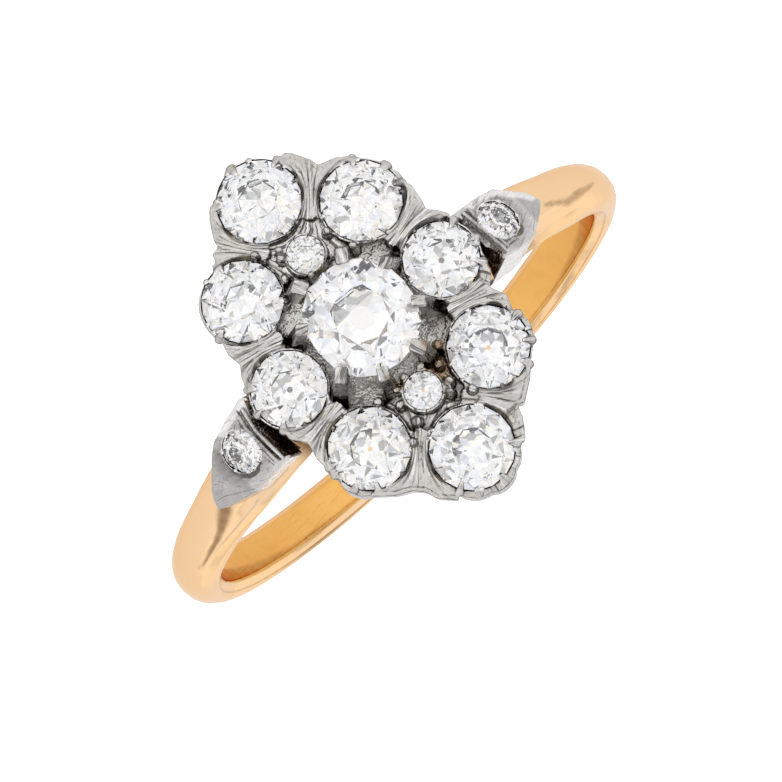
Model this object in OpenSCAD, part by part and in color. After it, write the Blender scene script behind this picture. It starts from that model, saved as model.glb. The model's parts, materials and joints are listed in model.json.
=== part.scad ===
// Diamond cluster ring: a gold shank, white metal shoulders and a long lozenge cluster.
// Inside the modules the finger lies along Y, the cluster faces +Z and the shank runs along X.
// The finished ring is then turned about X, so that it lies on the cluster's end and the shank's edge.

/* [Finger and shank] */
// Inside diameter of the ring
finger_d = 17; // [16.8:0.1:17.2]
// Radial thickness at the back of the shank
shank_t = 1.2; // [1.1:0.05:1.3]
// Width at the back of the shank
shank_w = 1.74; // [1.6:0.02:1.9]
// Width of the shank under the shoulder settings
shoulder_w = 2.2; // [2.1:0.05:2.3]
// Radial thickness of the shank under the shoulder settings
shoulder_t = 1.22; // [1.15:0.01:1.25]
// Radial thickness of the plain band under the cluster
bridge_t = 0.85; // [0.8:0.01:0.88]

/* [Cluster layout] */
// Turn of the cluster on the shank, in degrees
cluster_twist = -3.2; // [-4:0.2:4]
// Height of the outer stones above the finger
outer_rise = 2.46; // [2.4:0.02:2.5]
// Height of the accent stones above the finger
accent_rise = 2.84; // [2.8:0.02:2.9]
// Height of the centre stone above the finger
centre_rise = 3.8; // [3.75:0.05:3.9]
// Distance from the middle to an end stone
end_reach = 5.2; // [5.15:0.05:5.3]
// Distance from the middle to a side stone
side_reach = 3.15; // [3.1:0.05:3.2]
// Distance of a corner stone from the middle, across the finger
corner_x = 2.46; // [2.4:0.02:2.5]
// Distance of a corner stone from the middle, along the finger
corner_y = 3.1; // [3.05:0.05:3.15]
// Distance from the middle to an accent stone
accent_reach = 2.87; // [2.85:0.01:2.9]
// Outward lean of the outer stones, in degrees
outer_lean = 4; // [2:1:5]

/* [Stones] */
// Width of the centre stone across the finger
centre_w = 3.54; // [3.5:0.02:3.6]
// Length of the centre stone along the finger
centre_l = 3.8; // [3.7:0.05:3.9]
// Diameter of an end stone
end_d = 2.74; // [2.7:0.02:2.76]
// Diameter of a corner stone
corner_d = 2.66; // [2.6:0.02:2.7]
// Diameter of a side stone
side_d = 2.48; // [2.4:0.02:2.5]
// Diameter of an accent stone
accent_d = 1.24; // [1.2:0.02:1.26]
// Diameter of a shoulder stone
shoulder_d = 1.32; // [1.26:0.02:1.36]

/* [Settings] */
// Thickness of a collet's wall beside its stone
collet_wall = 0.28; // [0.24:0.01:0.3]
// Gap between a stone and its seat, and between gold and white metal
fit_gap = 0.02; // [0.01:0.005:0.03]
// Radius of a claw's rounded top
claw_r = 0.21; // [0.18:0.01:0.23]
// Radius of a centre prong's rounded top
prong_r = 0.27; // [0.24:0.01:0.28]
// Slope of the shoulder settings, in degrees from the middle of the cluster
plaque_angle = 35; // [34:0.5:36]
// Width of a shoulder setting
plaque_w = 2.16; // [2.1:0.02:2.2]

/* [Hidden] */
$fn = 64;
finger_r = finger_d / 2;
cluster_z = finger_r + outer_rise;
through = 1;

// Columns of the table of cluster stones
NAME = 0;
AT_X = 1;
AT_Y = 2;
AT_Z = 3;
SIZE = 4;
TURN = 5;
LEAN = 6;

OUTER = [
    ["end_diamond_upper", 0, end_reach, cluster_z, end_d, 8, outer_lean],
    ["corner_diamond_upper_right", corner_x, corner_y, cluster_z, corner_d, 30, outer_lean],
    ["side_diamond_right", side_reach, 0, cluster_z, side_d, 14, outer_lean],
    ["corner_diamond_lower_right", corner_x, -corner_y, cluster_z, corner_d, 3, outer_lean],
    ["end_diamond_lower", 0, -end_reach, cluster_z, end_d, 19, outer_lean],
    ["corner_diamond_lower_left", -corner_x, -corner_y, cluster_z, corner_d, 35, outer_lean],
    ["side_diamond_left", -side_reach, 0, cluster_z, side_d, 24, outer_lean],
    ["corner_diamond_upper_left", -corner_x, corner_y, cluster_z, corner_d, 11, outer_lean],
];

ACCENTS = [
    ["accent_diamond_upper", 0, accent_reach, finger_r + accent_rise, accent_d, 12, 0],
    ["accent_diamond_lower", 0, -accent_reach, finger_r + accent_rise, accent_d, 33, 0],
];

SIDES = [["left", -1], ["right", 1]];

// Proportions of an old cut stone, as parts of its half width
table_part = 0.5;
star_part = 0.76;
crown_part = 0.34;
girdle_part = 0.06;
depth_part = 0.86;
lower_part = 0.5;
culet_part = 0.12;
centre_culet_part = 0.22;
round_power = 2;
cushion_power = 2.3;
facet_slope = cos(22.5);
back_part = 0.6;
seat_room = 3;

// Height of the star facets' points above the girdle, as a part of the crown's height
star_rise_part = (1 - star_part * facet_slope) / (1 - table_part);
// Fall of the lower girdle facets, from the girdle to a part of the half width
function lower_fall(part) = (1 - lower_part * facet_slope) * (1 - part) / (1 - lower_part);

// Sections of the shank: angle from the middle of the cluster, then thickness, width and squareness
SHANK_T = [[0, bridge_t], [22, bridge_t], [27, shoulder_t], [45, shoulder_t], [62, shank_t + 0.06], [180, shank_t]];
SHANK_W = [[0, 1.9], [22, 2], [32, shoulder_w], [48, shoulder_w], [95, shank_w + 0.12], [180, shank_w]];
SHANK_POWER = [[0, 5], [40, 5], [56, 2.5], [75, 2.1], [180, 2.1]];
shank_steps = 72;
crown_steps = 4;
bore_edge_part = 0.71;
outer_edge_part = 0.93;
edge_rise_part = 0.24;
waist_part = 0.38;
bore_skin = 0.3;

// Cluster metal, as heights from the outer stones' girdles
collet_top = 0.1;
collet_drop = 1.4;
collet_foot_part = 0.72;
plate_drop = 0.98;
plate_t = 0.45;
gallery_z = finger_r + bridge_t + fit_gap;
gallery_h = 0.5;
gallery_out = 1.06;
gallery_in = 0.86;
saddle_x = 5.6;
saddle_y = 1.5;
wedge_top = 0.06;
wedge_drop = 1.0;
wedge_root = 0.9;
wedge_waist = 0.3;
wedge_half = 0.4;
arm_reach = 1.3;
arm_inset = 0.4;
arm_width = 0.3;
fork_depth = 0.25;
claw_top = 0.16;
claw_drop = 0.9;
claw_turn = 1.5;
claw_lean = 19;
centre_foot_r = 1.15;
centre_cup_r = 1.42;
centre_cup_h = 0.9;
centre_back_r = 0.9;
accent_foot_part = 1;
prong_foot_r = 0.2;
prong_top = 0.16;
prong_round = 1.03;
PRONG_ANGLES = [for (a = [28, 70]) each [a, 180 - a, 180 + a, -a]];

// Angle about X at which the ring lies on the cluster's end and on the edge of the shank
section_z = finger_r + waist_part * shank_t;
section_rise = finger_r + shank_t - section_z;
function leaned(out, up) = [
    end_reach + out * cos(outer_lean) + up * sin(outer_lean),
    cluster_z - out * sin(outer_lean) + up * cos(outer_lean)
];
function drop_of(point, a) = point[0] * cos(a) - point[1] * sin(a);
function end_drop(a) = max(
    drop_of(leaned(end_d / 2 + collet_wall, collet_top), a),
    drop_of(leaned(end_d / 2 + claw_r / 2, claw_top), a) + claw_r
);
function shank_drop(a) = section_z * sin(a) + norm([shank_w / 2 * cos(a), section_rise * sin(a)]);
function tangent_angle(low, high, steps) =
    let (middle = (low + high) / 2)
    steps == 0 ? middle
    : end_drop(middle) > shank_drop(middle) ? tangent_angle(middle, high, steps - 1)
    : tangent_angle(low, middle, steps - 1);
rest_angle = tangent_angle(5, 30, 24);

module lying_down() {
    rotate([90 - rest_angle, 0, 0])
        children();
}

// Shank: one closed run of sections about the finger, with a true round hole cut through it

function crown_point(a, power, half_w, mid, rise) =
    [mid + rise * pow(sin(a), 2 / power), half_w * pow(cos(a), 2 / power)];

function half_section(angle) =
    let (
        t = lookup(angle, SHANK_T),
        half_w = lookup(angle, SHANK_W) / 2,
        power = lookup(angle, SHANK_POWER),
        mid = finger_r + waist_part * t,
        rise = t - waist_part * t,
        edge_rise = edge_rise_part * t,
        skin_part = bore_edge_part - (outer_edge_part - bore_edge_part) * bore_skin / edge_rise
    )
    concat(
        [[finger_r - bore_skin, half_w * skin_part]],
        [[finger_r + edge_rise, half_w * outer_edge_part]],
        [for (i = [0:crown_steps - 1]) crown_point(90 * i / crown_steps, power, half_w, mid, rise)],
        [[finger_r + t, 0]]
    );

function mirrored(points) = [for (i = [len(points) - 2:-1:0]) [points[i][0], -points[i][1]]];

function section(angle) =
    let (half = half_section(angle))
    concat(half, mirrored(half));

function around(angle, points) = [for (p = points) [p[0] * sin(angle), p[1], p[0] * cos(angle)]];

function folded(angle) = angle > 180 ? 360 - angle : angle;

module shank() {
    step = 360 / shank_steps;
    per = len(section(0));
    points = [for (i = [0:shank_steps - 1]) each around(i * step, section(folded(i * step)))];
    faces = [
        for (i = [0:shank_steps - 1])
        for (j = [0:per - 1])
        let (
            a = i * per + j,
            b = i * per + (j + 1) % per,
            c = (i + 1) % shank_steps * per + (j + 1) % per,
            d = (i + 1) % shank_steps * per + j
        )
        each [[a, c, b], [a, d, c]]
    ];
    color("goldenrod")
        lying_down()
            difference() {
                polyhedron(points, faces);
                rotate([90, 0, 0])
                    cylinder(h = shoulder_w + 2 * through, r = finger_r, center = true, $fn = 128);
            }
}

// Stones: octagonal table, stars, kites, girdle halves, a girdle band, a pavilion and a flat culet

function outline_r(a, half_w, half_l, power) =
    pow(pow(abs(cos(a)) / half_w, power) + pow(abs(sin(a)) / half_l, power), -1 / power);

function ring(count, shift, part, z, half_w, half_l, power) = [
    for (k = [0:count - 1])
    let (
        a = 360 * (k + shift) / count,
        r = part * outline_r(a, half_w, half_l, power)
    )
    [r * cos(a), r * sin(a), z]
];

module diamond(half_w, half_l, power, culet) {
    size = min(half_w, half_l);
    crown = crown_part * size;
    girdle = girdle_part * size / 2;
    depth = depth_part * size;
    star_z = girdle + crown * star_rise_part;
    lower_z = -girdle - depth * lower_fall(lower_part);
    culet_z = -girdle - depth * (1 - culet * facet_slope);
    points = concat(
        ring(8, 0, table_part, girdle + crown, half_w, half_l, power),
        ring(8, 0.5, star_part, star_z, half_w, half_l, power),
        ring(16, 0, 1, girdle, half_w, half_l, power),
        ring(16, 0, 1, -girdle, half_w, half_l, power),
        ring(8, 0.5, lower_part, lower_z, half_w, half_l, power),
        ring(8, 0.5, culet, culet_z, half_w, half_l, power)
    );
    top = 0;
    star = 8;
    upper = 16;
    lower = 32;
    pavilion = 48;
    point = 56;
    faces = concat(
        [[for (k = [7:-1:0]) top + k]],
        [[for (k = [0:7]) point + k]],
        [for (j = [0:15]) each [
            [upper + j, upper + (j + 1) % 16, lower + (j + 1) % 16],
            [upper + j, lower + (j + 1) % 16, lower + j]
        ]],
        [for (k = [0:7])
            let (
                next = (k + 1) % 8,
                before = (k + 7) % 8,
                main = 2 * k,
                half = 2 * k + 1,
                end = (2 * k + 2) % 16
            )
            each [
                [top + k, top + next, star + k],
                [top + k, upper + main, star + before],
                [top + k, star + k, upper + main],
                [star + k, upper + half, upper + main],
                [star + k, upper + end, upper + half],
                [pavilion + k, lower + main, lower + half],
                [pavilion + k, lower + half, lower + end],
                [pavilion + before, lower + main, pavilion + k],
                [pavilion + before, pavilion + k, point + before],
                [pavilion + k, point + k, point + before]
            ]
        ]
    );
    polyhedron(points, faces);
}

module on_cluster() {
    lying_down()
        rotate([0, 0, cluster_twist])
            children();
}

// Moves a stone, or what holds it, from the origin to its place, leaning away from the middle
module at_stone(s) {
    away = atan2(s[AT_Y], s[AT_X]);
    translate([s[AT_X], s[AT_Y], s[AT_Z]])
        rotate([0, 0, away])
            rotate([0, s[LEAN], 0])
                children();
}

module cluster_diamond(s) {
    color("aliceblue")
        on_cluster()
            at_stone(s)
                rotate([0, 0, s[TURN]])
                    diamond(s[SIZE] / 2, s[SIZE] / 2, round_power, culet_part);
}

module centre_shape(extra) {
    translate([0, 0, finger_r + centre_rise])
        diamond(centre_w / 2 + extra, centre_l / 2 + extra, cushion_power, centre_culet_part);
}

module centre_diamond() {
    color("aliceblue")
        on_cluster()
            centre_shape(0);
}

// Room for a round stone of radius r: its crown, girdle and pavilion, and the open back below
module seat(r, drop) {
    girdle = girdle_part * r / 2 + fit_gap;
    back_r = back_part * r;
    back_z = girdle + depth_part * r * lower_fall(back_part);
    rotate_extrude()
        polygon([
            [0, -drop], [back_r, -drop], [back_r, -back_z],
            [r + fit_gap, -girdle], [r + fit_gap, girdle],
            [star_part * r + fit_gap, girdle + crown_part * r * star_rise_part],
            [table_part * r + fit_gap, girdle + crown_part * r],
            [table_part * r + fit_gap, drop], [0, drop]
        ]);
}

module collet(s, drop, foot_part) {
    r = s[SIZE] / 2;
    translate([0, 0, -drop])
        cylinder(h = drop + collet_top, r1 = foot_part * r + collet_wall / 2, r2 = r + collet_wall);
}

// Claw with a round top, which the room cut for the stone leaves lying on the stone's rim
module claw() {
    translate([0, 0, -claw_drop])
        cylinder(h = claw_drop + claw_top, r = claw_r);
    translate([0, 0, claw_top])
        sphere(r = claw_r);
}

// Claw on the outward side of an outer stone, turned a little towards the side stones.
// It leans with the collet's wall, so that its foot runs into it.
module outward_claw(s) {
    turn = atan2(s[AT_Y], claw_turn * s[AT_X]) - atan2(s[AT_Y], s[AT_X]);
    at_stone(s)
        rotate([0, 0, turn])
            translate([s[SIZE] / 2 + claw_r / 2, 0, claw_top])
                rotate([0, claw_lean, 0])
                    translate([0, 0, -claw_top])
                        claw();
}

// Forked wedge between two neighbouring stones, with an arm along each rim that ends in a claw
module wedge(a, b) {
    middle = [(a[AT_X] + b[AT_X]) / 2, (a[AT_Y] + b[AT_Y]) / 2];
    apart = [b[AT_X] - a[AT_X], b[AT_Y] - a[AT_Y]];
    arm = norm(apart) / 2 - arm_inset;
    square = atan2(apart[1], apart[0]) + 90;
    outward = cos(square - atan2(middle[1], middle[0])) > 0 ? square : square + 180;
    translate([middle[0], middle[1], a[AT_Z]])
        rotate([0, 0, outward]) {
            translate([0, 0, -wedge_drop])
                linear_extrude(height = wedge_drop + wedge_top)
                    polygon([
                        [-wedge_root, 0], [wedge_waist, -wedge_half], [arm_reach - arm_width, -arm],
                        [arm_reach, claw_r / 2 - arm], [arm_reach - fork_depth, 0], [arm_reach, arm - claw_r / 2],
                        [arm_reach - arm_width, arm], [wedge_waist, wedge_half]
                    ]);
            for (end = [-arm, arm])
                translate([arm_reach, end, 0])
                    claw();
        }
}

module prong(angle) {
    foot = [centre_foot_r * cos(angle), centre_foot_r * sin(angle), cluster_z - plate_drop];
    rim = outline_r(angle, centre_w / 2, centre_l / 2, cushion_power) + prong_r / 3;
    head = [rim * cos(angle), rim * sin(angle), finger_r + centre_rise + prong_top];
    along = head - foot;
    lean = acos(along[2] / norm(along));
    translate(foot)
        rotate([0, 0, angle])
            rotate([0, lean, 0]) {
                cylinder(h = norm(along), r1 = prong_foot_r, r2 = prong_r);
                translate([0, 0, norm(along)])
                    sphere(r = prong_r * prong_round);
            }
}

function lozenge(part) = [for (s = OUTER) [part * s[AT_X], part * s[AT_Y]]];

// Under gallery: a bar that links the feet of the outer collets, and a saddle on the band
module gallery() {
    translate([0, 0, gallery_z])
        linear_extrude(height = gallery_h)
            difference() {
                polygon(lozenge(gallery_out));
                polygon(lozenge(gallery_in));
            }
    difference() {
        translate([-saddle_x / 2, -saddle_y / 2, finger_r])
            cube([saddle_x, saddle_y, cluster_z - plate_drop + plate_t / 2 - finger_r]);
        rotate([90, 0, 0])
            cylinder(h = saddle_y + 2 * through, r = gallery_z, center = true);
    }
}

module cluster_metal() {
    for (s = OUTER)
        at_stone(s)
            collet(s, collet_drop, collet_foot_part);
    for (s = ACCENTS)
        at_stone(s)
            collet(s, collet_drop, accent_foot_part);
    translate([0, 0, cluster_z - plate_drop])
        linear_extrude(height = plate_t)
            polygon(lozenge(1));
    for (i = [0:len(OUTER) - 1])
        wedge(OUTER[i], OUTER[(i + 1) % len(OUTER)]);
    for (s = OUTER)
        outward_claw(s);
    translate([0, 0, cluster_z - plate_drop])
        cylinder(h = centre_cup_h, r1 = centre_foot_r, r2 = centre_cup_r);
    for (angle = PRONG_ANGLES)
        prong(angle);
    gallery();
}

module cluster_setting() {
    color("silver")
        on_cluster()
            difference() {
                cluster_metal();
                for (s = concat(OUTER, ACCENTS))
                    at_stone(s)
                        seat(s[SIZE] / 2, seat_room);
                centre_shape(fit_gap);
                translate([0, 0, finger_r])
                    cylinder(h = centre_rise, r = centre_back_r);
            }
}

// Shoulder settings: a pointed plate on each shoulder with a raised border and a round stone

plaque_top = finger_r + 1.93;
plaque_back = -1.96;
plaque_side = 0.02;
plaque_tip = 1.62;
plaque_stone = -0.5;
plaque_tip_w = 0.3;
plaque_floor = 0.12;
plaque_border = 0.18;
plaque_collar = 0.12;
plaque_bevel = 0.9;
plaque_bevel_angle = 38;
plaque_seat_room = 1.2;
stone_sink = 0.04;
shoulder_turn = 17;

module plaque_outline(inset) {
    half = plaque_w / 2 - inset;
    polygon([
        [plaque_back + inset, -half], [plaque_side, -half], [plaque_tip - inset, -plaque_tip_w / 2],
        [plaque_tip - inset, plaque_tip_w / 2], [plaque_side, half], [plaque_back + inset, half]
    ]);
}

// Turns from a frame with X down the slope and Z out of the plate to the ring's own frame
module on_shoulder(side) {
    lying_down()
        mirror([side < 0 ? 1 : 0, 0, 0])
            rotate([0, plaque_angle, 0])
                children();
}

module shoulder_setting(side) {
    r = shoulder_d / 2;
    color("silver")
        on_shoulder(side)
            difference() {
                translate([0, 0, finger_r])
                    linear_extrude(height = plaque_top - finger_r)
                        plaque_outline(0);
                rotate([90, 0, 0])
                    cylinder(h = plaque_w + 2 * through, r = finger_r + shoulder_t + fit_gap, center = true);
                translate([0, 0, plaque_top - plaque_floor])
                    linear_extrude(height = through)
                        difference() {
                            plaque_outline(plaque_border);
                            translate([plaque_stone, 0])
                                circle(r = r + plaque_collar);
                        }
                translate([plaque_bevel, -plaque_w, plaque_top])
                    rotate([0, plaque_bevel_angle, 0])
                        cube([2 * plaque_w, 2 * plaque_w, plaque_w]);
                translate([plaque_stone, 0, plaque_top - stone_sink])
                    seat(r, plaque_seat_room);
            }
}

module shoulder_diamond(side) {
    color("aliceblue")
        on_shoulder(side)
            translate([plaque_stone, 0, plaque_top - stone_sink])
                rotate([0, 0, shoulder_turn])
                    diamond(shoulder_d / 2, shoulder_d / 2, round_power, culet_part);
}

shank();
cluster_setting();
centre_diamond();
for (s = SIDES) {
    shoulder_setting(s[1]);
    shoulder_diamond(s[1]);
}
for (s = concat(OUTER, ACCENTS)) {
    cluster_diamond(s);
}
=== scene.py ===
"""Looks of a diamond cluster ring: a gold shank, white metal settings and thirteen old cut diamonds.

Every piece is shaped in millimetres in the ring's own frame, where the finger lies along Y and the
cluster faces +Z. The piece is then turned as the ring lies, and scaled to metres.
"""

from __future__ import annotations

import json
import logging
import math
from contextlib import contextmanager
from dataclasses import dataclass
from enum import Enum
from typing import Callable, Iterable, Iterator, Sequence

import bmesh
import bpy
from mathutils import Matrix, Vector
from mathutils.bvhtree import BVHTree

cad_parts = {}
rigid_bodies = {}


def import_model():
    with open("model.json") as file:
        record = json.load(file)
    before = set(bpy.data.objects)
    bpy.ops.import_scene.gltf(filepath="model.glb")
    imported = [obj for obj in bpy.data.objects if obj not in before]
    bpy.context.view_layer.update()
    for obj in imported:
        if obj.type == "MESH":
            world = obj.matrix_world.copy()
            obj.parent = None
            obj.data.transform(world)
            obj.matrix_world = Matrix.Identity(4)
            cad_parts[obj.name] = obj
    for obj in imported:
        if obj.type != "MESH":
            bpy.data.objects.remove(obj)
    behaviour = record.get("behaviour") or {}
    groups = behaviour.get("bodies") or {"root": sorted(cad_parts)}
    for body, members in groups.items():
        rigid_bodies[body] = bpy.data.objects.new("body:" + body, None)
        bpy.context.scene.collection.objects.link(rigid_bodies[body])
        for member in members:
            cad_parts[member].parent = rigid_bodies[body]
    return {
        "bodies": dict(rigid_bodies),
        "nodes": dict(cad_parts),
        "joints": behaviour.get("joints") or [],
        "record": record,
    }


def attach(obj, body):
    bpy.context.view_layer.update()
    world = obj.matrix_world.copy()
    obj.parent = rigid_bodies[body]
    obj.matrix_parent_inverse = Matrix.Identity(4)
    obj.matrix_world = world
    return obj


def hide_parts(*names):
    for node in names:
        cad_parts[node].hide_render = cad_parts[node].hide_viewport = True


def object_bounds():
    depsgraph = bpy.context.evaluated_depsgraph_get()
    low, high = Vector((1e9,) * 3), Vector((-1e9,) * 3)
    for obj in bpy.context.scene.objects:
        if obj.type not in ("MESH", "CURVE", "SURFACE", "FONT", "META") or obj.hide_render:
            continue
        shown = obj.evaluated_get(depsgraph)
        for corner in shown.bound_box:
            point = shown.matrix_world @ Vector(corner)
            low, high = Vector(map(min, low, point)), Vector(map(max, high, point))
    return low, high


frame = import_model()
cad_low, cad_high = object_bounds()

LOG = logging.getLogger("ring")
MM = 0.001
IMAGE_SIDE = 782

# A pair is a place seen from above, a range, or one step of a table

Pair = tuple[float, float]
Pairs = tuple[Pair, ...]
Colour = tuple[float, float, float, float]


class Slot(Enum):
    """Material slots of the record."""

    GOLD = "rose_gold"
    WHITE = "white_metal"
    STONE = "diamond"


# Places


def lookup(value: float, table: Sequence[Pair]) -> float:
    """Reads a table of steps, with straight lines between them.

    Args:
        value: where to read.
        table: pairs of a place and the value there, in rising order.

    Returns:
        The value at that place.
    """
    for (low, at_low), (high, at_high) in zip(table, table[1:]):
        if value <= high:
            return at_low + (at_high - at_low) * (value - low) / (high - low)
    return table[-1][1]


def polar(degrees: float, reach: float, height: float = 0.0) -> Vector:
    """Returns the place at an angle, a reach from the axis and a height."""
    turn = math.radians(degrees)
    return Vector((reach * math.cos(turn), reach * math.sin(turn), height))


def along_line(here: Vector, spots: Sequence[Pair]) -> Iterator[tuple[int, float, float]]:
    """Measures a place against each stretch of a line, seen from above.

    Args:
        here: the place.
        spots: the line's points.

    Yields:
        The stretch's number, the part of the way along it where it is nearest, and the distance there.
    """
    for index, (first, second) in enumerate(zip(spots, spots[1:])):
        start, end = Vector(first), Vector(second)
        along = (here - start).dot(end - start) / (end - start).length_squared
        along = min(1.0, max(0.0, along))
        yield index, along, (here - start.lerp(end, along)).length


@dataclass(frozen=True)
class Layout:
    """Where the ring's parts sit, in millimetres and degrees."""

    finger_r: float = 8.5
    cluster_twist: float = -3.2
    cluster_z: float = 10.96
    accent_z: float = 11.34
    centre_z: float = 12.3
    gallery_z: float = 9.37
    opening: Pair = (-0.08, -0.27)
    band_shift: Pair = (0.1, 0.2)
    band_turn: float = 0.53

    @property
    def rest_angle(self) -> float:
        """Angle at which the ring lies, from the finger hole's axis in the record."""
        axis = frame["record"]["mounts"][0]["axis"]
        return math.atan2(axis[1], axis[2])

    @property
    def lying(self) -> Matrix:
        """Turn and scale from the ring's own frame to the scene."""
        turn = Matrix.Rotation(math.pi / 2 - self.rest_angle, 4, "X")
        return Matrix.Scale(MM, 4) @ turn

    @property
    def facing(self) -> Vector:
        """Direction in which the cluster faces in the scene."""
        return (self.lying.to_3x3() @ Vector((0, 0, 1))).normalized()

    @property
    def cluster(self) -> Matrix:
        """Turn of the cluster on the shank."""
        return Matrix.Rotation(math.radians(self.cluster_twist), 4, "Z")

    @property
    def band(self) -> Matrix:
        """Move of the shank and its shoulders, which sit a little off the cluster's middle."""
        turn = Matrix.Rotation(math.radians(self.band_turn), 4, "Z")
        return Matrix.Translation((*self.band_shift, 0)) @ turn


LAYOUT = Layout()


@dataclass(frozen=True)
class Seat:
    """Place of a stone in the cluster's own frame."""

    x: float
    y: float
    z: float
    radius: float
    lean: float = 0.0

    @property
    def away(self) -> float:
        """Direction from the middle of the cluster, in degrees."""
        return math.degrees(math.atan2(self.y, self.x))

    @property
    def frame(self) -> Matrix:
        """Finds the move from the origin to the seat, with +X leaning away from the middle.

        Returns:
            The move.
        """
        turn = Matrix.Rotation(math.radians(self.away), 4, "Z")
        lean = Matrix.Rotation(math.radians(self.lean), 4, "Y")
        return Matrix.Translation((self.x, self.y, self.z)) @ (turn @ lean)

    def spot(self, degrees: float, past: float, height: float) -> Vector:
        """Finds a place about the stone.

        Args:
            degrees: direction from the stone's middle, in the cluster's frame.
            past: distance past the stone's rim.
            height: height above its girdle.

        Returns:
            The place, in the cluster's frame.
        """
        return self.frame @ polar(degrees - self.away, self.radius + past, height)


class Name(Enum):
    """Outer stones, clockwise from the low end as the wearer sees them."""

    END_LOW = "end_diamond_lower"
    CORNER_LOW_LEFT = "corner_diamond_lower_left"
    SIDE_LEFT = "side_diamond_left"
    CORNER_UP_LEFT = "corner_diamond_upper_left"
    END_UP = "end_diamond_upper"
    CORNER_UP_RIGHT = "corner_diamond_upper_right"
    SIDE_RIGHT = "side_diamond_right"
    CORNER_LOW_RIGHT = "corner_diamond_lower_right"


OUTER_LEAN = 4.0
END_REACH, END_R = 5.2, 1.37
CORNER_X, CORNER_Y, CORNER_R = 2.46, 3.1, 1.33
SIDE_REACH, SIDE_R = 3.15, 1.24
ACCENT_REACH, ACCENT_R = 2.87, 0.62
CENTRE_HALF_W, CENTRE_HALF_L = 1.77, 1.9


def outer_seat(x: float, y: float, radius: float) -> Seat:
    """Returns an outer stone's seat."""
    return Seat(x, y, LAYOUT.cluster_z, radius, OUTER_LEAN)


SEATS = {
    Name.END_LOW: outer_seat(0, -END_REACH, END_R),
    Name.CORNER_LOW_LEFT: outer_seat(-CORNER_X, -CORNER_Y, CORNER_R),
    Name.SIDE_LEFT: outer_seat(-SIDE_REACH, 0, SIDE_R),
    Name.CORNER_UP_LEFT: outer_seat(-CORNER_X, CORNER_Y, CORNER_R),
    Name.END_UP: outer_seat(0, END_REACH, END_R),
    Name.CORNER_UP_RIGHT: outer_seat(CORNER_X, CORNER_Y, CORNER_R),
    Name.SIDE_RIGHT: outer_seat(SIDE_REACH, 0, SIDE_R),
    Name.CORNER_LOW_RIGHT: outer_seat(CORNER_X, -CORNER_Y, CORNER_R),
}
ACCENTS = (
    Seat(0, -ACCENT_REACH, LAYOUT.accent_z, ACCENT_R),
    Seat(0, ACCENT_REACH, LAYOUT.accent_z, ACCENT_R),
)


# Making shapes


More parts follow.
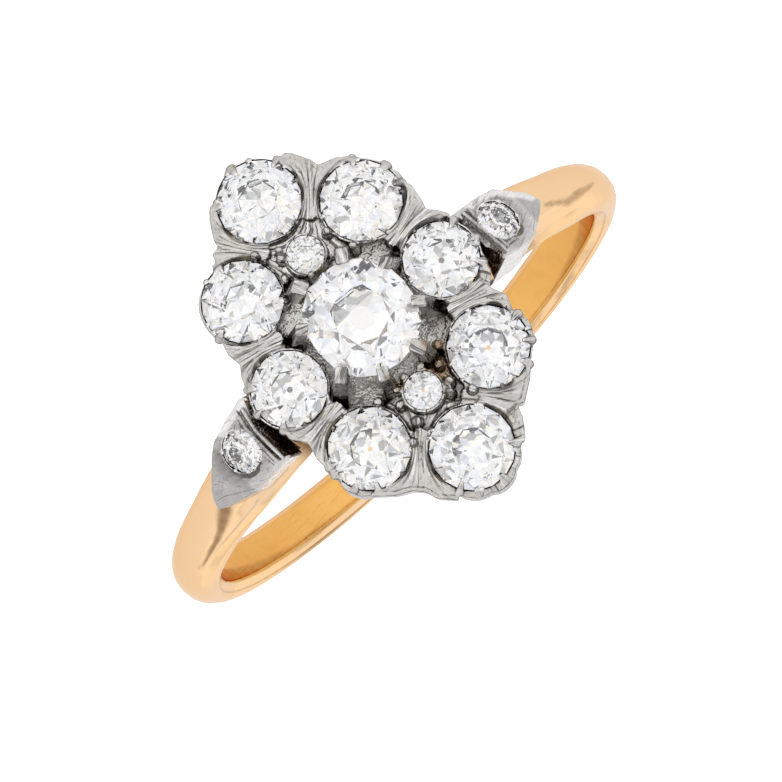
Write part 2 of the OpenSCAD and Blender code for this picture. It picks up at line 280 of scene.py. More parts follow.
class Bench:
    """Small tools for modelling with Blender's own operators."""

    @staticmethod
    def clear() -> None:
        """Deselects everything."""
        bpy.ops.object.select_all(action="DESELECT")

    @staticmethod
    def take(obj: bpy.types.Object) -> None:
        """Makes one object the only one selected, and active.

        Args:
            obj: the object.
        """
        Bench.clear()
        obj.select_set(True)
        bpy.context.view_layer.objects.active = obj

    @staticmethod
    def start(primitive: Callable[..., object], **settings: object) -> bpy.types.Object:
        """Adds a primitive.

        Args:
            primitive: the operator that adds it.
            settings: the operator's own settings.

        Returns:
            The new object, alone selected.
        """
        Bench.clear()
        primitive(**settings)
        return bpy.context.active_object

    @staticmethod
    def double(obj: bpy.types.Object) -> bpy.types.Object:
        """Copies an object with its mesh.

        Args:
            obj: the object.

        Returns:
            The copy.
        """
        copy = obj.copy()
        copy.data = obj.data.copy()
        bpy.context.scene.collection.objects.link(copy)
        return copy

    @staticmethod
    @contextmanager
    def edit(obj: bpy.types.Object, everything: bool = False) -> Iterator[None]:
        """Holds an object in edit mode.

        Args:
            obj: the object.
            everything: whether all of it is selected first.

        Yields:
            Nothing.
        """
        Bench.take(obj)
        bpy.ops.object.mode_set(mode="EDIT")
        if everything:
            bpy.ops.mesh.select_all(action="SELECT")
        yield
        bpy.ops.object.mode_set(mode="OBJECT")

    @staticmethod
    def pick(obj: bpy.types.Object, rule: Callable[[Vector], bool]) -> None:
        """Selects the vertices of an object in edit mode.

        Args:
            obj: the object being edited.
            rule: says of a place whether its vertex is selected.
        """
        mesh = bmesh.from_edit_mesh(obj.data)
        bpy.ops.mesh.select_mode(type="VERT")
        for vertex in mesh.verts:
            vertex.select_set(rule(vertex.co))
        mesh.select_flush(True)
        bmesh.update_edit_mesh(obj.data)

    @staticmethod
    def draw(points: Sequence[Vector], close: bool = False) -> bpy.types.Object:
        """Draws a line of edges, one extrusion for each.

        Args:
            points: its points.
            close: whether the line is filled to a face.

        Returns:
            The new object.
        """
        obj = Bench.start(bpy.ops.mesh.primitive_plane_add, size=2.0)
        with Bench.edit(obj):
            Bench.pick(obj, lambda place: place.x < 0 or place.y < 0)
            bpy.ops.mesh.delete(type="VERT")
            bpy.ops.mesh.select_all(action="SELECT")
            bpy.ops.transform.translate(value=Vector(points[0]) - Vector((1, 1, 0)))
            for start, end in zip(points, points[1:]):
                bpy.ops.mesh.extrude_region_move(TRANSFORM_OT_translate={"value": end - start})
            if close:
                bpy.ops.mesh.select_all(action="SELECT")
                bpy.ops.mesh.edge_face_add()
        return obj

    @staticmethod
    def slab(points: Sequence[Pair], low: float, high: float) -> bpy.types.Object:
        """Makes a flat piece of an outline.

        Args:
            points: the outline, seen from above.
            low: height of its bottom.
            high: height of its top.

        Returns:
            The new object.
        """
        obj = Bench.draw([Vector((x, y, low)) for x, y in points], close=True)
        with Bench.edit(obj, everything=True):
            bpy.ops.mesh.extrude_region_move(TRANSFORM_OT_translate={"value": (0, 0, high - low)})
        Bench.tidy(obj)
        return obj

    @staticmethod
    def lathe(profile: Sequence[Pair], steps: int = 48) -> bpy.types.Object:
        """Turns a profile about Z.

        Args:
            profile: pairs of a radius and a height, from the axis back to the axis or closed on itself.
            steps: steps of the turn.

        Returns:
            The new object, closed.
        """
        obj = Bench.draw([Vector((radius, 0, height)) for radius, height in profile])
        with Bench.edit(obj, everything=True):
            bpy.ops.mesh.spin(steps=steps, angle=math.tau, center=(0, 0, 0), axis=(0, 0, 1))
        Bench.tidy(obj)
        return obj

    @staticmethod
    def drum(radius: float, width: float, steps: int) -> bpy.types.Object:
        """Makes a drum about the finger's axis.

        Args:
            radius: its radius.
            width: its width along the finger.
            steps: steps of its round side.

        Returns:
            The new object.
        """
        obj = Bench.start(
            bpy.ops.mesh.primitive_cylinder_add, vertices=steps, radius=radius, depth=width,
            rotation=(math.pi / 2, 0, 0)
        )
        Bench.place(obj, Matrix.Identity(4))
        return obj

    @staticmethod
    def pin(
        start: Vector,
        end: Vector,
        thick: float,
        thin: float,
        wide: Vector | None = None,
        spread: float = 1.0,
    ) -> bpy.types.Object:
        """Stretches a ball to a tapered pin with round ends.

        Args:
            start: middle of its thick end.
            end: middle of its thin end.
            thick: radius at the start.
            thin: radius at the end.
            wide: direction in which the pin is spread.
            spread: how much wider it is in that direction.

        Returns:
            The new object.
        """
        along = end - start
        obj = Bench.start(bpy.ops.mesh.primitive_uv_sphere_add, segments=16, ring_count=10, radius=thick)
        with Bench.edit(obj):
            Bench.pick(obj, lambda place: place.z > 0.001)
            bpy.ops.transform.resize(value=(thin / thick,) * 3, center_override=(0, 0, 0))
            bpy.ops.transform.translate(value=(0, 0, along.length))
        forward = along.normalized()
        across = (wide if wide is not None else forward.orthogonal()).cross(forward).normalized()
        sideways = forward.cross(across)
        turn = Matrix((sideways * spread, across, forward)).transposed().to_4x4()
        Bench.place(obj, Matrix.Translation(start) @ turn)
        return obj

    @staticmethod
    def stone_shape(radius: float, frame: Matrix) -> bpy.types.Object:
        """Makes a plain stone, which shades the metal about it.

        Args:
            radius: the stone's radius.
            frame: its place.

        Returns:
            The new object.
        """
        profile = [
            (0, -0.8 * radius), (radius, -0.03 * radius), (radius, 0.03 * radius),
            (0.55 * radius, 0.32 * radius), (0, 0.32 * radius)
        ]
        obj = Bench.lathe(profile, 32)
        Bench.place(obj, frame)
        return obj

    @staticmethod
    def fuse(obj: bpy.types.Object, voxel: float, rounds: int, budget: int) -> None:
        """Melts overlapping shapes to one cast body.

        Args:
            obj: the joined shapes.
            voxel: fineness of the cast.
            rounds: how often it is smoothed.
            budget: most triangles left.
        """
        Bench.modify(obj, "REMESH", mode="VOXEL", voxel_size=voxel)
        Bench.modify(obj, "SMOOTH", factor=0.5, iterations=rounds)
        ratio = min(1.0, budget / 2 / len(obj.data.polygons))
        Bench.modify(obj, "DECIMATE", ratio=ratio)

    @staticmethod
    def cut(obj: bpy.types.Object, tool: bpy.types.Object, crossing: bool = False) -> None:
        """Cuts one closed shape out of another and takes the first away.

        Args:
            obj: the shape that is cut.
            tool: the shape taken out of it.
            crossing: whether the tool is made of parts that cross.
        """
        Bench.modify(obj, "BOOLEAN", operation="DIFFERENCE", solver="EXACT", use_self=crossing, object=tool)
        bpy.data.objects.remove(tool)

    @staticmethod
    def modify(obj: bpy.types.Object, kind: str, **settings: object) -> None:
        """Adds a modifier and applies it.

        Args:
            obj: the object.
            kind: the modifier's type.
            settings: values set on the modifier.
        """
        Bench.take(obj)
        modifier = obj.modifiers.new(kind.lower(), kind)
        for name, value in settings.items():
            setattr(modifier, name, value)
        bpy.ops.object.modifier_apply(modifier=modifier.name)

    @staticmethod
    def place(obj: bpy.types.Object, matrix: Matrix) -> None:
        """Moves an object and writes the move into its mesh.

        Args:
            obj: the object.
            matrix: the move.
        """
        Bench.take(obj)
        obj.matrix_world = matrix @ obj.matrix_world
        bpy.ops.object.transform_apply(location=True, rotation=True, scale=True)

    @staticmethod
    def join(objects: Sequence[bpy.types.Object]) -> bpy.types.Object:
        """Joins objects into the first one.

        Args:
            objects: the objects.

        Returns:
            The first, which now holds them all.
        """
        Bench.clear()
        for obj in objects:
            obj.select_set(True)
        bpy.context.view_layer.objects.active = objects[0]
        bpy.ops.object.join()
        return objects[0]

    @staticmethod
    def smooth(obj: bpy.types.Object, degrees: float) -> None:
        """Shades an object smooth, but for edges sharper than an angle."""
        Bench.take(obj)
        bpy.ops.object.shade_smooth_by_angle(angle=math.radians(degrees))

    @staticmethod
    def tidy(obj: bpy.types.Object, gap: float = 0.001) -> None:
        """Merges doubled vertices and turns all faces outwards.

        Args:
            obj: the object.
            gap: how close vertices are merged.
        """
        with Bench.edit(obj, everything=True):
            bpy.ops.mesh.remove_doubles(threshold=gap)
            bpy.ops.mesh.normals_make_consistent(inside=False)

    @staticmethod
    def hand_over(
        obj: bpy.types.Object,
        name: str,
        slot: Slot,
        material: bpy.types.Material,
        replaced: Iterable[str] = (),
    ) -> None:
        """Lays a finished piece in the scene.

        Args:
            obj: the piece, in the ring's own frame.
            name: its name.
            slot: the record's slot that it takes its finish from; not used.
            material: its finish.
            replaced: CAD nodes that it stands for.
        """
        Bench.place(obj, LAYOUT.lying)
        obj.name = name
        obj.data.name = name
        obj.data.materials.clear()
        obj.data.materials.append(material)
        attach(obj, "root")
        if replaced:
            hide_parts(*replaced)
        LOG.info("%s: %d faces", name, len(obj.data.polygons))


class Shade:
    """Works out where a piece is sheltered and where it is thin at an edge, for its finish to paint shade
    there and bright worn edges with painted highlights.
    """

    CREVICE = "crevice"
    EDGE = "edge"
    ACROSS = "flow_across"
    ALONG = "flow_along"
    CUT = "flow_cut"
    STAIN_AND_SHADE = "stain_and_shade"

    @staticmethod
    def rays(count: int) -> list[Vector]:
        """Spreads directions evenly over the upper half of a ball.

        Args:
            count: how many.

        Returns:
            The directions, each of length 1.
        """
        golden = math.pi * (3 - math.sqrt(5))
        rays = []
        for index in range(count):
            rise = (index + 0.5) / count * 0.9 + 0.1
            reach = math.sqrt(max(0.0, 1 - rise * rise))
            rays.append(Vector((reach * math.cos(index * golden), reach * math.sin(index * golden), rise)))
        return rays

    @staticmethod
    def sheltered(
        tree: BVHTree, place: Vector, normal: Vector, rays: Sequence[Vector], reach: float
    ) -> float:
        """Measures how much of the space over a place is shut in.

        Args:
            tree: the piece's faces.
            place: the place.
            normal: direction looked into.
            rays: directions about +Z.
            reach: how far to look.

        Returns:
            0 in the open, up to 1.
        """
        turn = normal.to_track_quat("Z", "Y")
        start = place + normal * 0.01
        shut = 0.0
        for ray in rays:
            distance = tree.ray_cast(start, turn @ ray, reach)[3]
            if distance is not None:
                shut += 1 - distance / reach
        return shut / len(rays)

    @staticmethod
    def write(obj: bpy.types.Object, marks: dict[str, Sequence[float]]) -> None:
        """Writes named marks into a mesh, each with one number for a vertex.

        Args:
            obj: the object.
            marks: the numbers of each mark.
        """
        for name, values in marks.items():
            layer = obj.data.attributes.new(name, "FLOAT", "POINT")
            layer.data.foreach_set("value", values)

    @staticmethod
    def soft(value: float, low: float, high: float) -> float:
        """Makes a straight step from 0 at one value to 1 at another."""
        return min(1.0, max(0.0, (value - low) / (high - low)))

    @staticmethod
    def crevices(
        obj: bpy.types.Object,
        beside: bpy.types.Object,
        extra: Callable[[Vector], float],
        open_reach: float = 1.0,
        edge_reach: float = 0.12,
    ) -> None:
        """Writes how sheltered and how edge-like each vertex is into the mesh, which the finish turns into
        painted shade and painted highlights.

        Args:
            obj: the piece, in millimetres.
            beside: a stand-in for what lies beside the piece, which is taken away.
            extra: says of a place how much more painted shade it gets, as in the crescents beside a stone.
            open_reach: how far to look outwards.
            edge_reach: how far to look into the metal.
        """
        points, faces = [], []
        for other in (obj, beside):
            faces += [tuple(index + len(points) for index in face.vertices) for face in other.data.polygons]
            points += [vertex.co.copy() for vertex in other.data.vertices]
        bpy.data.objects.remove(beside)
        tree = BVHTree.FromPolygons(points, faces)
        outer, inner = Shade.rays(14), Shade.rays(6)
        shut, worn = [], []
        for vertex in obj.data.vertices:
            place, normal = vertex.co, vertex.normal
            # The sheltered mark, with the extra, is where the finish paints shade.
            shut.append(Shade.sheltered(tree, place, normal, outer, open_reach) + extra(place))
            worn.append(Shade.sheltered(tree, place, -normal, inner, edge_reach))
        Shade.write(obj, {Shade.CREVICE: shut, Shade.EDGE: worn})


# Finishes


class Graph:
    """A short way to add nodes to a node tree."""

    def __init__(self, tree: bpy.types.NodeTree) -> None:
        """Keeps the tree, emptied of its nodes."""
        self.tree = tree
        tree.nodes.clear()

    def add(self, kind: str, **settings: object) -> bpy.types.Node:
        """Adds a node.

        Args:
            kind: its type name.
            settings: properties, or input values where the name is an input's, with _ for a space.

        Returns:
            The node.
        """
        node = self.tree.nodes.new(kind)
        inputs = {socket.name.replace(" ", "_"): socket for socket in reversed(node.inputs)}
        for name, value in settings.items():
            if hasattr(node, name):
                setattr(node, name, value)
            else:
                inputs[name].default_value = value
        return node

    def link(self, start: bpy.types.NodeSocket, end: bpy.types.NodeSocket) -> None:
        """Joins two sockets."""
        self.tree.links.new(start, end)

    def feed(self, socket: bpy.types.NodeSocket, value: object) -> None:
        """Gives an input a value, or the socket that feeds it.

        Args:
            socket: the input.
            value: the value or the socket.
        """
        if isinstance(value, bpy.types.NodeSocket):
            self.link(value, socket)
        else:
            socket.default_value = value

    def mix(self, share: bpy.types.NodeSocket, start: object, end: object) -> bpy.types.NodeSocket:
        """Mixes two colours.

        Args:
            share: socket with the share of the second.
            start: first colour, or a socket with it.
            end: second colour, or a socket with it.

        Returns:
            The socket with the mixed colour.
        """
        node = self.add("ShaderNodeMix", data_type="RGBA")
        self.link(share, node.inputs[0])
        self.feed(node.inputs[6], start)
        self.feed(node.inputs[7], end)
        return node.outputs[2]

    def ramp(self, value: bpy.types.NodeSocket, low: object, high: object) -> bpy.types.NodeSocket:
        """Makes a soft step from 0 at one value to 1 at another.

        Args:
            value: socket with the number.
            low: where the step starts, or a socket with it.
            high: where it ends, or a socket with it.

        Returns:
            The socket with the step.
        """
        node = self.add("ShaderNodeMapRange", interpolation_type="SMOOTHSTEP")
        self.link(value, node.inputs["Value"])
        self.feed(node.inputs["From Min"], low)
        self.feed(node.inputs["From Max"], high)
        return node.outputs["Result"]

    def times(self, first: bpy.types.NodeSocket, second: object) -> bpy.types.NodeSocket:
        """Multiplies two numbers.

        Args:
            first: socket with the first.
            second: the second, or a socket with it.

        Returns:
            The socket with the product.
        """
        node = self.add("ShaderNodeMath", operation="MULTIPLY")
        self.link(first, node.inputs[0])
        self.feed(node.inputs[1], second)
        return node.outputs["Value"]

    def read(self, attribute: str) -> bpy.types.NodeSocket:
        """Returns the socket with a number written into the mesh."""
        return self.add("ShaderNodeAttribute", attribute_name=attribute).outputs["Fac"]

    def use(self, effect: bpy.types.NodeTree, **values: object) -> bpy.types.Node:
        """Places a shared effect.

        Args:
            effect: its node group.
            values: a value or a feeding socket for each input, with _ for a space.

        Returns:
            The group's node.
        """
        node = self.tree.nodes.new("ShaderNodeGroup")
        node.node_tree = effect
        for name, value in values.items():
            self.feed(node.inputs[name.replace("_", " ")], value)
        return node

    def close(self, shader: bpy.types.Node, kind: str = "ShaderNodeOutputMaterial") -> None:
        """Ends the graph with an output node, which a shader feeds."""
        output = self.add(kind)
        self.link(shader.outputs[0], output.inputs["Surface"])


def new_material(name: str) -> tuple[bpy.types.Material, Graph]:
    """Makes an empty node material.

    Args:
        name: its name.

    Returns:
        The material and its graph.
    """
    material = bpy.data.materials.new(name)
    material.use_nodes = True
    return material, Graph(material.node_tree)


PLAIN: Colour = (0.8, 0.8, 0.8, 1.0)


def new_effect(
    name: str, inputs: dict[str, float | tuple[float, ...]], outputs: Sequence[str]
) -> tuple[Graph, dict[str, bpy.types.NodeSocket], dict[str, bpy.types.NodeSocket]]:
    """Starts a node group for an effect that several finishes share.

    Args:
        name: the effect's name.
        inputs: its inputs with usual values: a number, a direction of three or a colour of four.
        outputs: its outputs, where Colour and Normal are known by name and others are shares.

    Returns:
        Its graph, the sockets that bring its inputs and the sockets that take its outputs.
    """
    tree = bpy.data.node_groups.new(name, "ShaderNodeTree")
    graph = Graph(tree)
    kinds = {1: "NodeSocketFloat", 3: "NodeSocketVector", 4: "NodeSocketColor"}
    for port, value in inputs.items():
        size = len(value) if isinstance(value, tuple) else 1
        tree.interface.new_socket(port, in_out="INPUT", socket_type=kinds[size]).default_value = value
    for port in outputs:
        size = {"Colour": 4, "Normal": 3}.get(port, 1)
        tree.interface.new_socket(port, in_out="OUTPUT", socket_type=kinds[size])
    start, end = graph.add("NodeGroupInput"), graph.add("NodeGroupOutput")
    return graph, dict(start.outputs.items()), dict(end.inputs.items())


class Effects:
    """Effects that several finishes share, each a node group built once."""

    TWO_TONES = (0.48, 0.62)
    FRAYED = (0.06, 1.0)
    TURNED_AWAY = (0.84, 0.4)
    UPRIGHT = {"From_Min": 0.3, "From_Max": 0.0, "To_Min": 1.0, "To_Max": 0.45}

    def __init__(self) -> None:
        """Builds every effect."""
        self.clouds = self.build_clouds()
        self.wear_and_highlight = self.build_wear_and_highlight()
        self.hollow_shade = self.build_hollow_shade()
        self.stains = self.build_stains()
        self.lines = self.build_lines()
        self.scratches = self.build_scratches()
        self.dents = self.build_dents()
        self.slope_reflection = self.build_slope_reflection()

    def build_clouds(self) -> bpy.types.NodeTree:
        """Builds soft cloudy patches, as a share that wanders over the piece.

        Returns:
            The effect's node group.
        """
        graph, start, end = new_effect("soft_clouds", {"Scale": 900.0, "Detail": 4.0}, ("Share",))
        place = graph.add("ShaderNodeTexCoord")
        noise = graph.add("ShaderNodeTexNoise", Roughness=0.6)
        graph.link(place.outputs["Object"], noise.inputs["Vector"])
        graph.link(start["Scale"], noise.inputs["Scale"])
        graph.link(start["Detail"], noise.inputs["Detail"])
        graph.link(noise.outputs["Fac"], end["Share"])
        return graph.tree

    def build_wear_and_highlight(self) -> bpy.types.NodeTree:
        """Builds bright worn edges that are partly a painted highlight, where the mesh says that the metal
        is thin.

        Returns:
            The effect's node group.
        """
        inputs = {"Colour": PLAIN, "Edge Colour": PLAIN, "From": 0.18, "To": 0.55}
        graph, start, end = new_effect("edge_wear", inputs, ("Colour",))
        share = graph.ramp(graph.read(Shade.EDGE), start["From"], start["To"])
        # Worn edges, brightened further as a painted highlight.
        graph.link(graph.mix(share, start["Colour"], start["Edge Colour"]), end["Colour"])
        return graph.tree

    def build_hollow_shade(self) -> bpy.types.NodeTree:
        """Builds painted shade in patches of two tones, where the mesh says that it is sheltered.

        Returns:
            The effect's node group.
        """
        inputs = {"Colour": PLAIN, "Grime": PLAIN, "Warm Grime": PLAIN}
        inputs |= {"From": 0.3, "To": 0.8, "Scale": 1800.0}
        graph, start, end = new_effect("crevice_grime", inputs, ("Colour",))
        patches = graph.use(self.clouds, Scale=start["Scale"]).outputs["Share"]
        tone = graph.mix(graph.ramp(patches, *self.TWO_TONES), start["Grime"], start["Warm Grime"])
        # Painted shade: the colour darkens where the mesh marks the piece as sheltered.
        share = graph.ramp(graph.read(Shade.CREVICE), start["From"], start["To"])
        graph.link(graph.mix(share, start["Colour"], tone), end["Colour"])
        return graph.tree

    def build_stains(self) -> bpy.types.NodeTree:
        """Builds darker marks with frayed edges, where the mesh marks them: painted shade and painted
        reflections on the band, and darker patches on the settings.

        Returns:
            The effect's node group.
        """
        inputs = {"Colour": PLAIN, "Stain": PLAIN, "Fray": 0.25, "Scale": 2600.0}
        graph, start, end = new_effect("stains", inputs, ("Colour",))
        patches = graph.use(self.clouds, Scale=start["Scale"]).outputs["Share"]
        centred = graph.add("ShaderNodeMath", operation="SUBTRACT")
        graph.link(patches, centred.inputs[0])
        centred.inputs[1].default_value = 0.5
        frayed = graph.add("ShaderNodeMath", operation="MULTIPLY_ADD")
        graph.link(centred.outputs["Value"], frayed.inputs[0])
        graph.link(start["Fray"], frayed.inputs[1])
        graph.link(graph.read(Shade.STAIN_AND_SHADE), frayed.inputs[2])
        share = graph.ramp(frayed.outputs["Value"], *self.FRAYED)
        graph.link(graph.mix(share, start["Colour"], start["Stain"]), end["Colour"])
        return graph.tree

    def build_lines(self) -> bpy.types.NodeTree:
        """Builds fine engraved lines, darkened with painted shade, and bright crests that are painted
        highlights, along the flow written in the mesh.

        Returns:
            The effect's node group.
        """
        inputs = {
            "Colour": PLAIN, "Line Colour": PLAIN, "Gleam Colour": PLAIN,
            "Line From": 0.53, "Line To": 0.66, "Gleam From": 0.42, "Gleam To": 0.34,
            "Depth": 0.00003, "Normal": (0.0, 0.0, 1.0)
        }
        graph, start, end = new_effect("engraved_lines", inputs, ("Colour", "Normal"))
        place = graph.add("ShaderNodeCombineXYZ")
        graph.link(graph.read(Shade.ACROSS), place.inputs["X"])
        graph.link(graph.read(Shade.ALONG), place.inputs["Y"])
        streaks = graph.add("ShaderNodeTexNoise", Scale=1.0, Detail=2.0, Roughness=0.55)
        graph.link(place.outputs["Vector"], streaks.inputs["Vector"])
        cut = graph.read(Shade.CUT)
        line = graph.times(graph.ramp(streaks.outputs["Fac"], start["Line From"], start["Line To"]), cut)
        gleam = graph.times(graph.ramp(streaks.outputs["Fac"], start["Gleam From"], start["Gleam To"]), cut)
        # The dark lines are painted shade in the grooves, and the gleam is a painted highlight.
        lined = graph.mix(line, start["Colour"], start["Line Colour"])
        graph.link(graph.mix(gleam, lined, start["Gleam Colour"]), end["Colour"])
        grooves = graph.add("ShaderNodeBump", invert=True, Strength=1.0)
        graph.link(start["Depth"], grooves.inputs["Distance"])
        graph.link(line, grooves.inputs["Height"])
        graph.link(start["Normal"], grooves.inputs["Normal"])
        graph.link(grooves.outputs["Normal"], end["Normal"])
        return graph.tree

    def build_scratches(self) -> bpy.types.NodeTree:
        """Builds fine polishing scratches.

        Returns:
            The effect's node group.
        """
        graph, start, end = new_effect("fine_scratches", {"Depth": 0.000006}, ("Normal",))
        place = graph.add("ShaderNodeTexCoord")
        stretch = graph.add("ShaderNodeMapping", Scale=(9000.0, 9000.0, 700.0), Rotation=(0.5, 0.9, 0.2))
        graph.link(place.outputs["Object"], stretch.inputs["Vector"])
        noise = graph.add("ShaderNodeTexNoise", Scale=1.0, Detail=2.0)
        graph.link(stretch.outputs["Vector"], noise.inputs["Vector"])
        bump = graph.add("ShaderNodeBump", Strength=0.15)
        graph.link(start["Depth"], bump.inputs["Distance"])
        graph.link(noise.outputs["Fac"], bump.inputs["Height"])
        graph.link(bump.outputs["Normal"], end["Normal"])
        return graph.tree

    def build_dents(self) -> bpy.types.NodeTree:
        """Builds small soft dents, as of hand-worked metal.

        Returns:
            The effect's node group.
        """
        inputs = {"Scale": 3200.0, "Depth": 0.00004, "Normal": (0.0, 0.0, 1.0)}
        graph, start, end = new_effect("hand_worked_dents", inputs, ("Normal",))
        noise = graph.use(self.clouds, Scale=start["Scale"], Detail=2.0).outputs["Share"]
        bump = graph.add("ShaderNodeBump", Strength=0.6)
        graph.link(start["Depth"], bump.inputs["Distance"])
        graph.link(noise, bump.inputs["Height"])
        graph.link(start["Normal"], bump.inputs["Normal"])
        graph.link(bump.outputs["Normal"], end["Normal"])
        return graph.tree

    def build_slope_reflection(self) -> bpy.types.NodeTree:
        """Builds a painted dark reflection on faces that turn away from where the cluster faces, and less
        on upright walls.

        Returns:
            The effect's node group.
        """
        inputs = {"Colour": PLAIN, "Tarnish": PLAIN, "Amount": 0.0, "Normal": (0.0, 0.0, 1.0)}
        graph, start, end = new_effect("slope_tarnish", inputs, ("Colour",))
        own = graph.add(
            "ShaderNodeVectorTransform", vector_type="NORMAL", convert_from="WORLD", convert_to="OBJECT"
        )
        graph.link(start["Normal"], own.inputs["Vector"])
        level = graph.add("ShaderNodeVectorMath", operation="DOT_PRODUCT")
        level.inputs[1].default_value = LAYOUT.facing
        graph.link(own.outputs["Vector"], level.inputs[0])
        slope = graph.ramp(level.outputs["Value"], *self.TURNED_AWAY)
        wall = graph.add("ShaderNodeMapRange", interpolation_type="SMOOTHSTEP", **self.UPRIGHT)
        graph.link(level.outputs["Value"], wall.inputs["Value"])
        # Painted reflection: faces turned away are darkened as if they mirrored dark surroundings.
        share = graph.times(graph.times(slope, wall.outputs["Result"]), start["Amount"])
        graph.link(graph.mix(share, start["Colour"], start["Tarnish"]), end["Colour"])
        return graph.tree


@dataclass(frozen=True)
class PolishedMetal:
    """A polished metal with soft cloudy worn patches, fine scratches, painted shade in its crevices and
    bright worn edges that are partly painted highlights.
    """

    name: str
    colour: Colour
    worn_colour: Colour
    edge_colour: Colour
    rim_tint: Colour
    hollow_shade: Colour
    warm_hollow_shade: Colour
    stain_and_shade: Colour
    line_colour: Colour
    roughness: Pair = (0.1, 0.22)
    cloud_size: float = 900.0
    scratch_depth: float = 0.000006
    dent_depth: float = 0.0
    dent_size: float = 3200.0
    crevice_range: Pair = (0.3, 0.8)
    line_depth: float = 0.00003
    slope_tarnish: float = 0.0

    def build(self, effects: Effects) -> bpy.types.Material:
        """Builds the material.

        Args:
            effects: the shared effects.

        Returns:
            The material.
        """
        material, graph = new_material(self.name)
        clouds = graph.use(effects.clouds, Scale=self.cloud_size).outputs["Share"]
        tint = graph.mix(clouds, self.colour, self.worn_colour)
        worn = graph.use(effects.wear_and_highlight, Colour=tint, Edge_Colour=self.edge_colour)
        fine = graph.use(effects.scratches, Depth=self.scratch_depth)
        lined = graph.use(
            effects.lines, Colour=worn.outputs["Colour"], Line_Colour=self.line_colour,
            Gleam_Colour=self.edge_colour, Depth=self.line_depth, Normal=fine.outputs["Normal"]
        )
        low, high = self.crevice_range
        grimy = graph.use(
            effects.hollow_shade, Colour=lined.outputs["Colour"], Grime=self.hollow_shade, Warm_Grime=self.warm_hollow_shade,
            From=low, To=high
        )
        stained = graph.use(effects.stains, Colour=grimy.outputs["Colour"], Stain=self.stain_and_shade)
        dented = graph.use(
            effects.dents, Scale=self.dent_size, Depth=self.dent_depth, Normal=lined.outputs["Normal"]
        )
        toned = graph.use(
            effects.slope_reflection, Colour=stained.outputs["Colour"], Tarnish=self.line_colour,
            Amount=self.slope_tarnish, Normal=dented.outputs["Normal"]
        )
        polish = graph.add("ShaderNodeMapRange", To_Min=self.roughness[0], To_Max=self.roughness[1])
        graph.link(clouds, polish.inputs["Value"])
        shader = graph.add("ShaderNodeBsdfPrincipled", Metallic=1.0, Specular_Tint=self.rim_tint)
        graph.link(toned.outputs["Colour"], shader.inputs["Base Color"])
        graph.link(polish.outputs["Result"], shader.inputs["Roughness"])
        graph.link(dented.outputs["Normal"], shader.inputs["Normal"])
        graph.close(shader)
        return material


GOLD = PolishedMetal(
    name="rose_gold",
    colour=(0.955, 0.655, 0.385, 1),
    worn_colour=(0.94, 0.635, 0.36, 1),
    edge_colour=(0.95, 0.68, 0.44, 1),
    rim_tint=(0.95, 0.84, 0.7, 1),
    # On the band, these colours paint the deeper colour of light that bounces inside it.
    hollow_shade=(0.9, 0.5, 0.145, 1),
    warm_hollow_shade=(0.88, 0.48, 0.135, 1),
    # Colour of the painted dark reflections and shade on the band.
    stain_and_shade=(0.13, 0.055, 0.016, 1),
    line_colour=(0.5, 0.27, 0.08, 1),
    line_depth=0.000004,
)
CLUSTER_METAL = PolishedMetal(
    name="white_metal",
    colour=(0.84, 0.815, 0.77, 1),
    worn_colour=(0.42, 0.41, 0.385, 1),
    edge_colour=(0.96, 0.95, 0.93, 1),
    rim_tint=(1.0, 1.0, 1.0, 1),
    hollow_shade=(0.075, 0.068, 0.06, 1),
    warm_hollow_shade=(0.2, 0.165, 0.125, 1),
    stain_and_shade=(0.34, 0.235, 0.14, 1),
    line_colour=(0.1, 0.092, 0.08, 1),
    dent_depth=0.00011,
    dent_size=4200.0,
    cloud_size=1600.0,
    crevice_range=(0.26, 0.72),
    slope_tarnish=0.85,
)
SHOULDER_METAL = PolishedMetal(
    name="white_metal_shoulders",
    colour=(0.9, 0.885, 0.88, 1),
    worn_colour=(0.72, 0.71, 0.7, 1),
    edge_colour=(0.96, 0.95, 0.94, 1),
    rim_tint=(1.0, 1.0, 1.0, 1),
    hollow_shade=(0.035, 0.03, 0.025, 1),
    warm_hollow_shade=(0.16, 0.125, 0.09, 1),
    stain_and_shade=(0.2, 0.19, 0.17, 1),
    line_colour=(0.15, 0.14, 0.125, 1),
    dent_depth=0.00009,
    dent_size=5000.0,
    crevice_range=(0.3, 0.7),
)


@dataclass(frozen=True)
class CutStone:
    """A clear faceted stone."""

    name: str = "old_cut_diamond"
    clear: Colour = (1.0, 1.0, 1.0, 1.0)
    tint: Colour = (0.975, 0.975, 0.96, 1.0)
    index: float = 2.42

    def build(self, effects: Effects) -> bpy.types.Material:
        """Builds the material.

        Args:
            effects: the shared effects.

        Returns:
            The material.
        """
        material, graph = new_material(self.name)
        clouds = graph.use(effects.clouds, Scale=1200.0, Detail=3.0).outputs["Share"]
        shader = graph.add(
            "ShaderNodeBsdfPrincipled", Roughness=0.0, IOR=self.index, Transmission_Weight=1.0
        )
        graph.link(graph.mix(clouds, self.clear, self.tint), shader.inputs["Base Color"])
        graph.close(shader)
        return material


# Shank


@dataclass(frozen=True)
class ReflectionStreak:
    """A painted dark reflection along the crown, through places in degrees about the finger and millimetres
    across.
    """

    places: Pairs
    half_widths: tuple[float, ...]
    strength: float


# Painted dark reflections on the crown near the shoulders.
REFLECTION_STREAKS = (
    ReflectionStreak(
        ((-47, 0.3), (-53, 0.6), (-59, 0.58), (-65, 0.48), (-68.5, 0.4)),
        (0.12, 0.17, 0.13, 0.08, 0.03), 0.5
    ),
    ReflectionStreak(((-56, 0.42), (-62, 0.46), (-68.5, 0.4)), (0.03, 0.05, 0.03), 0.5),
    ReflectionStreak(
        ((46, 0.15), (49, 0.3), (52, 0.45), (56, 0.52), (62, 0.54), (68, 0.48)),
        (0.36, 0.28, 0.17, 0.11, 0.08, 0.03), 0.66
    ),
)


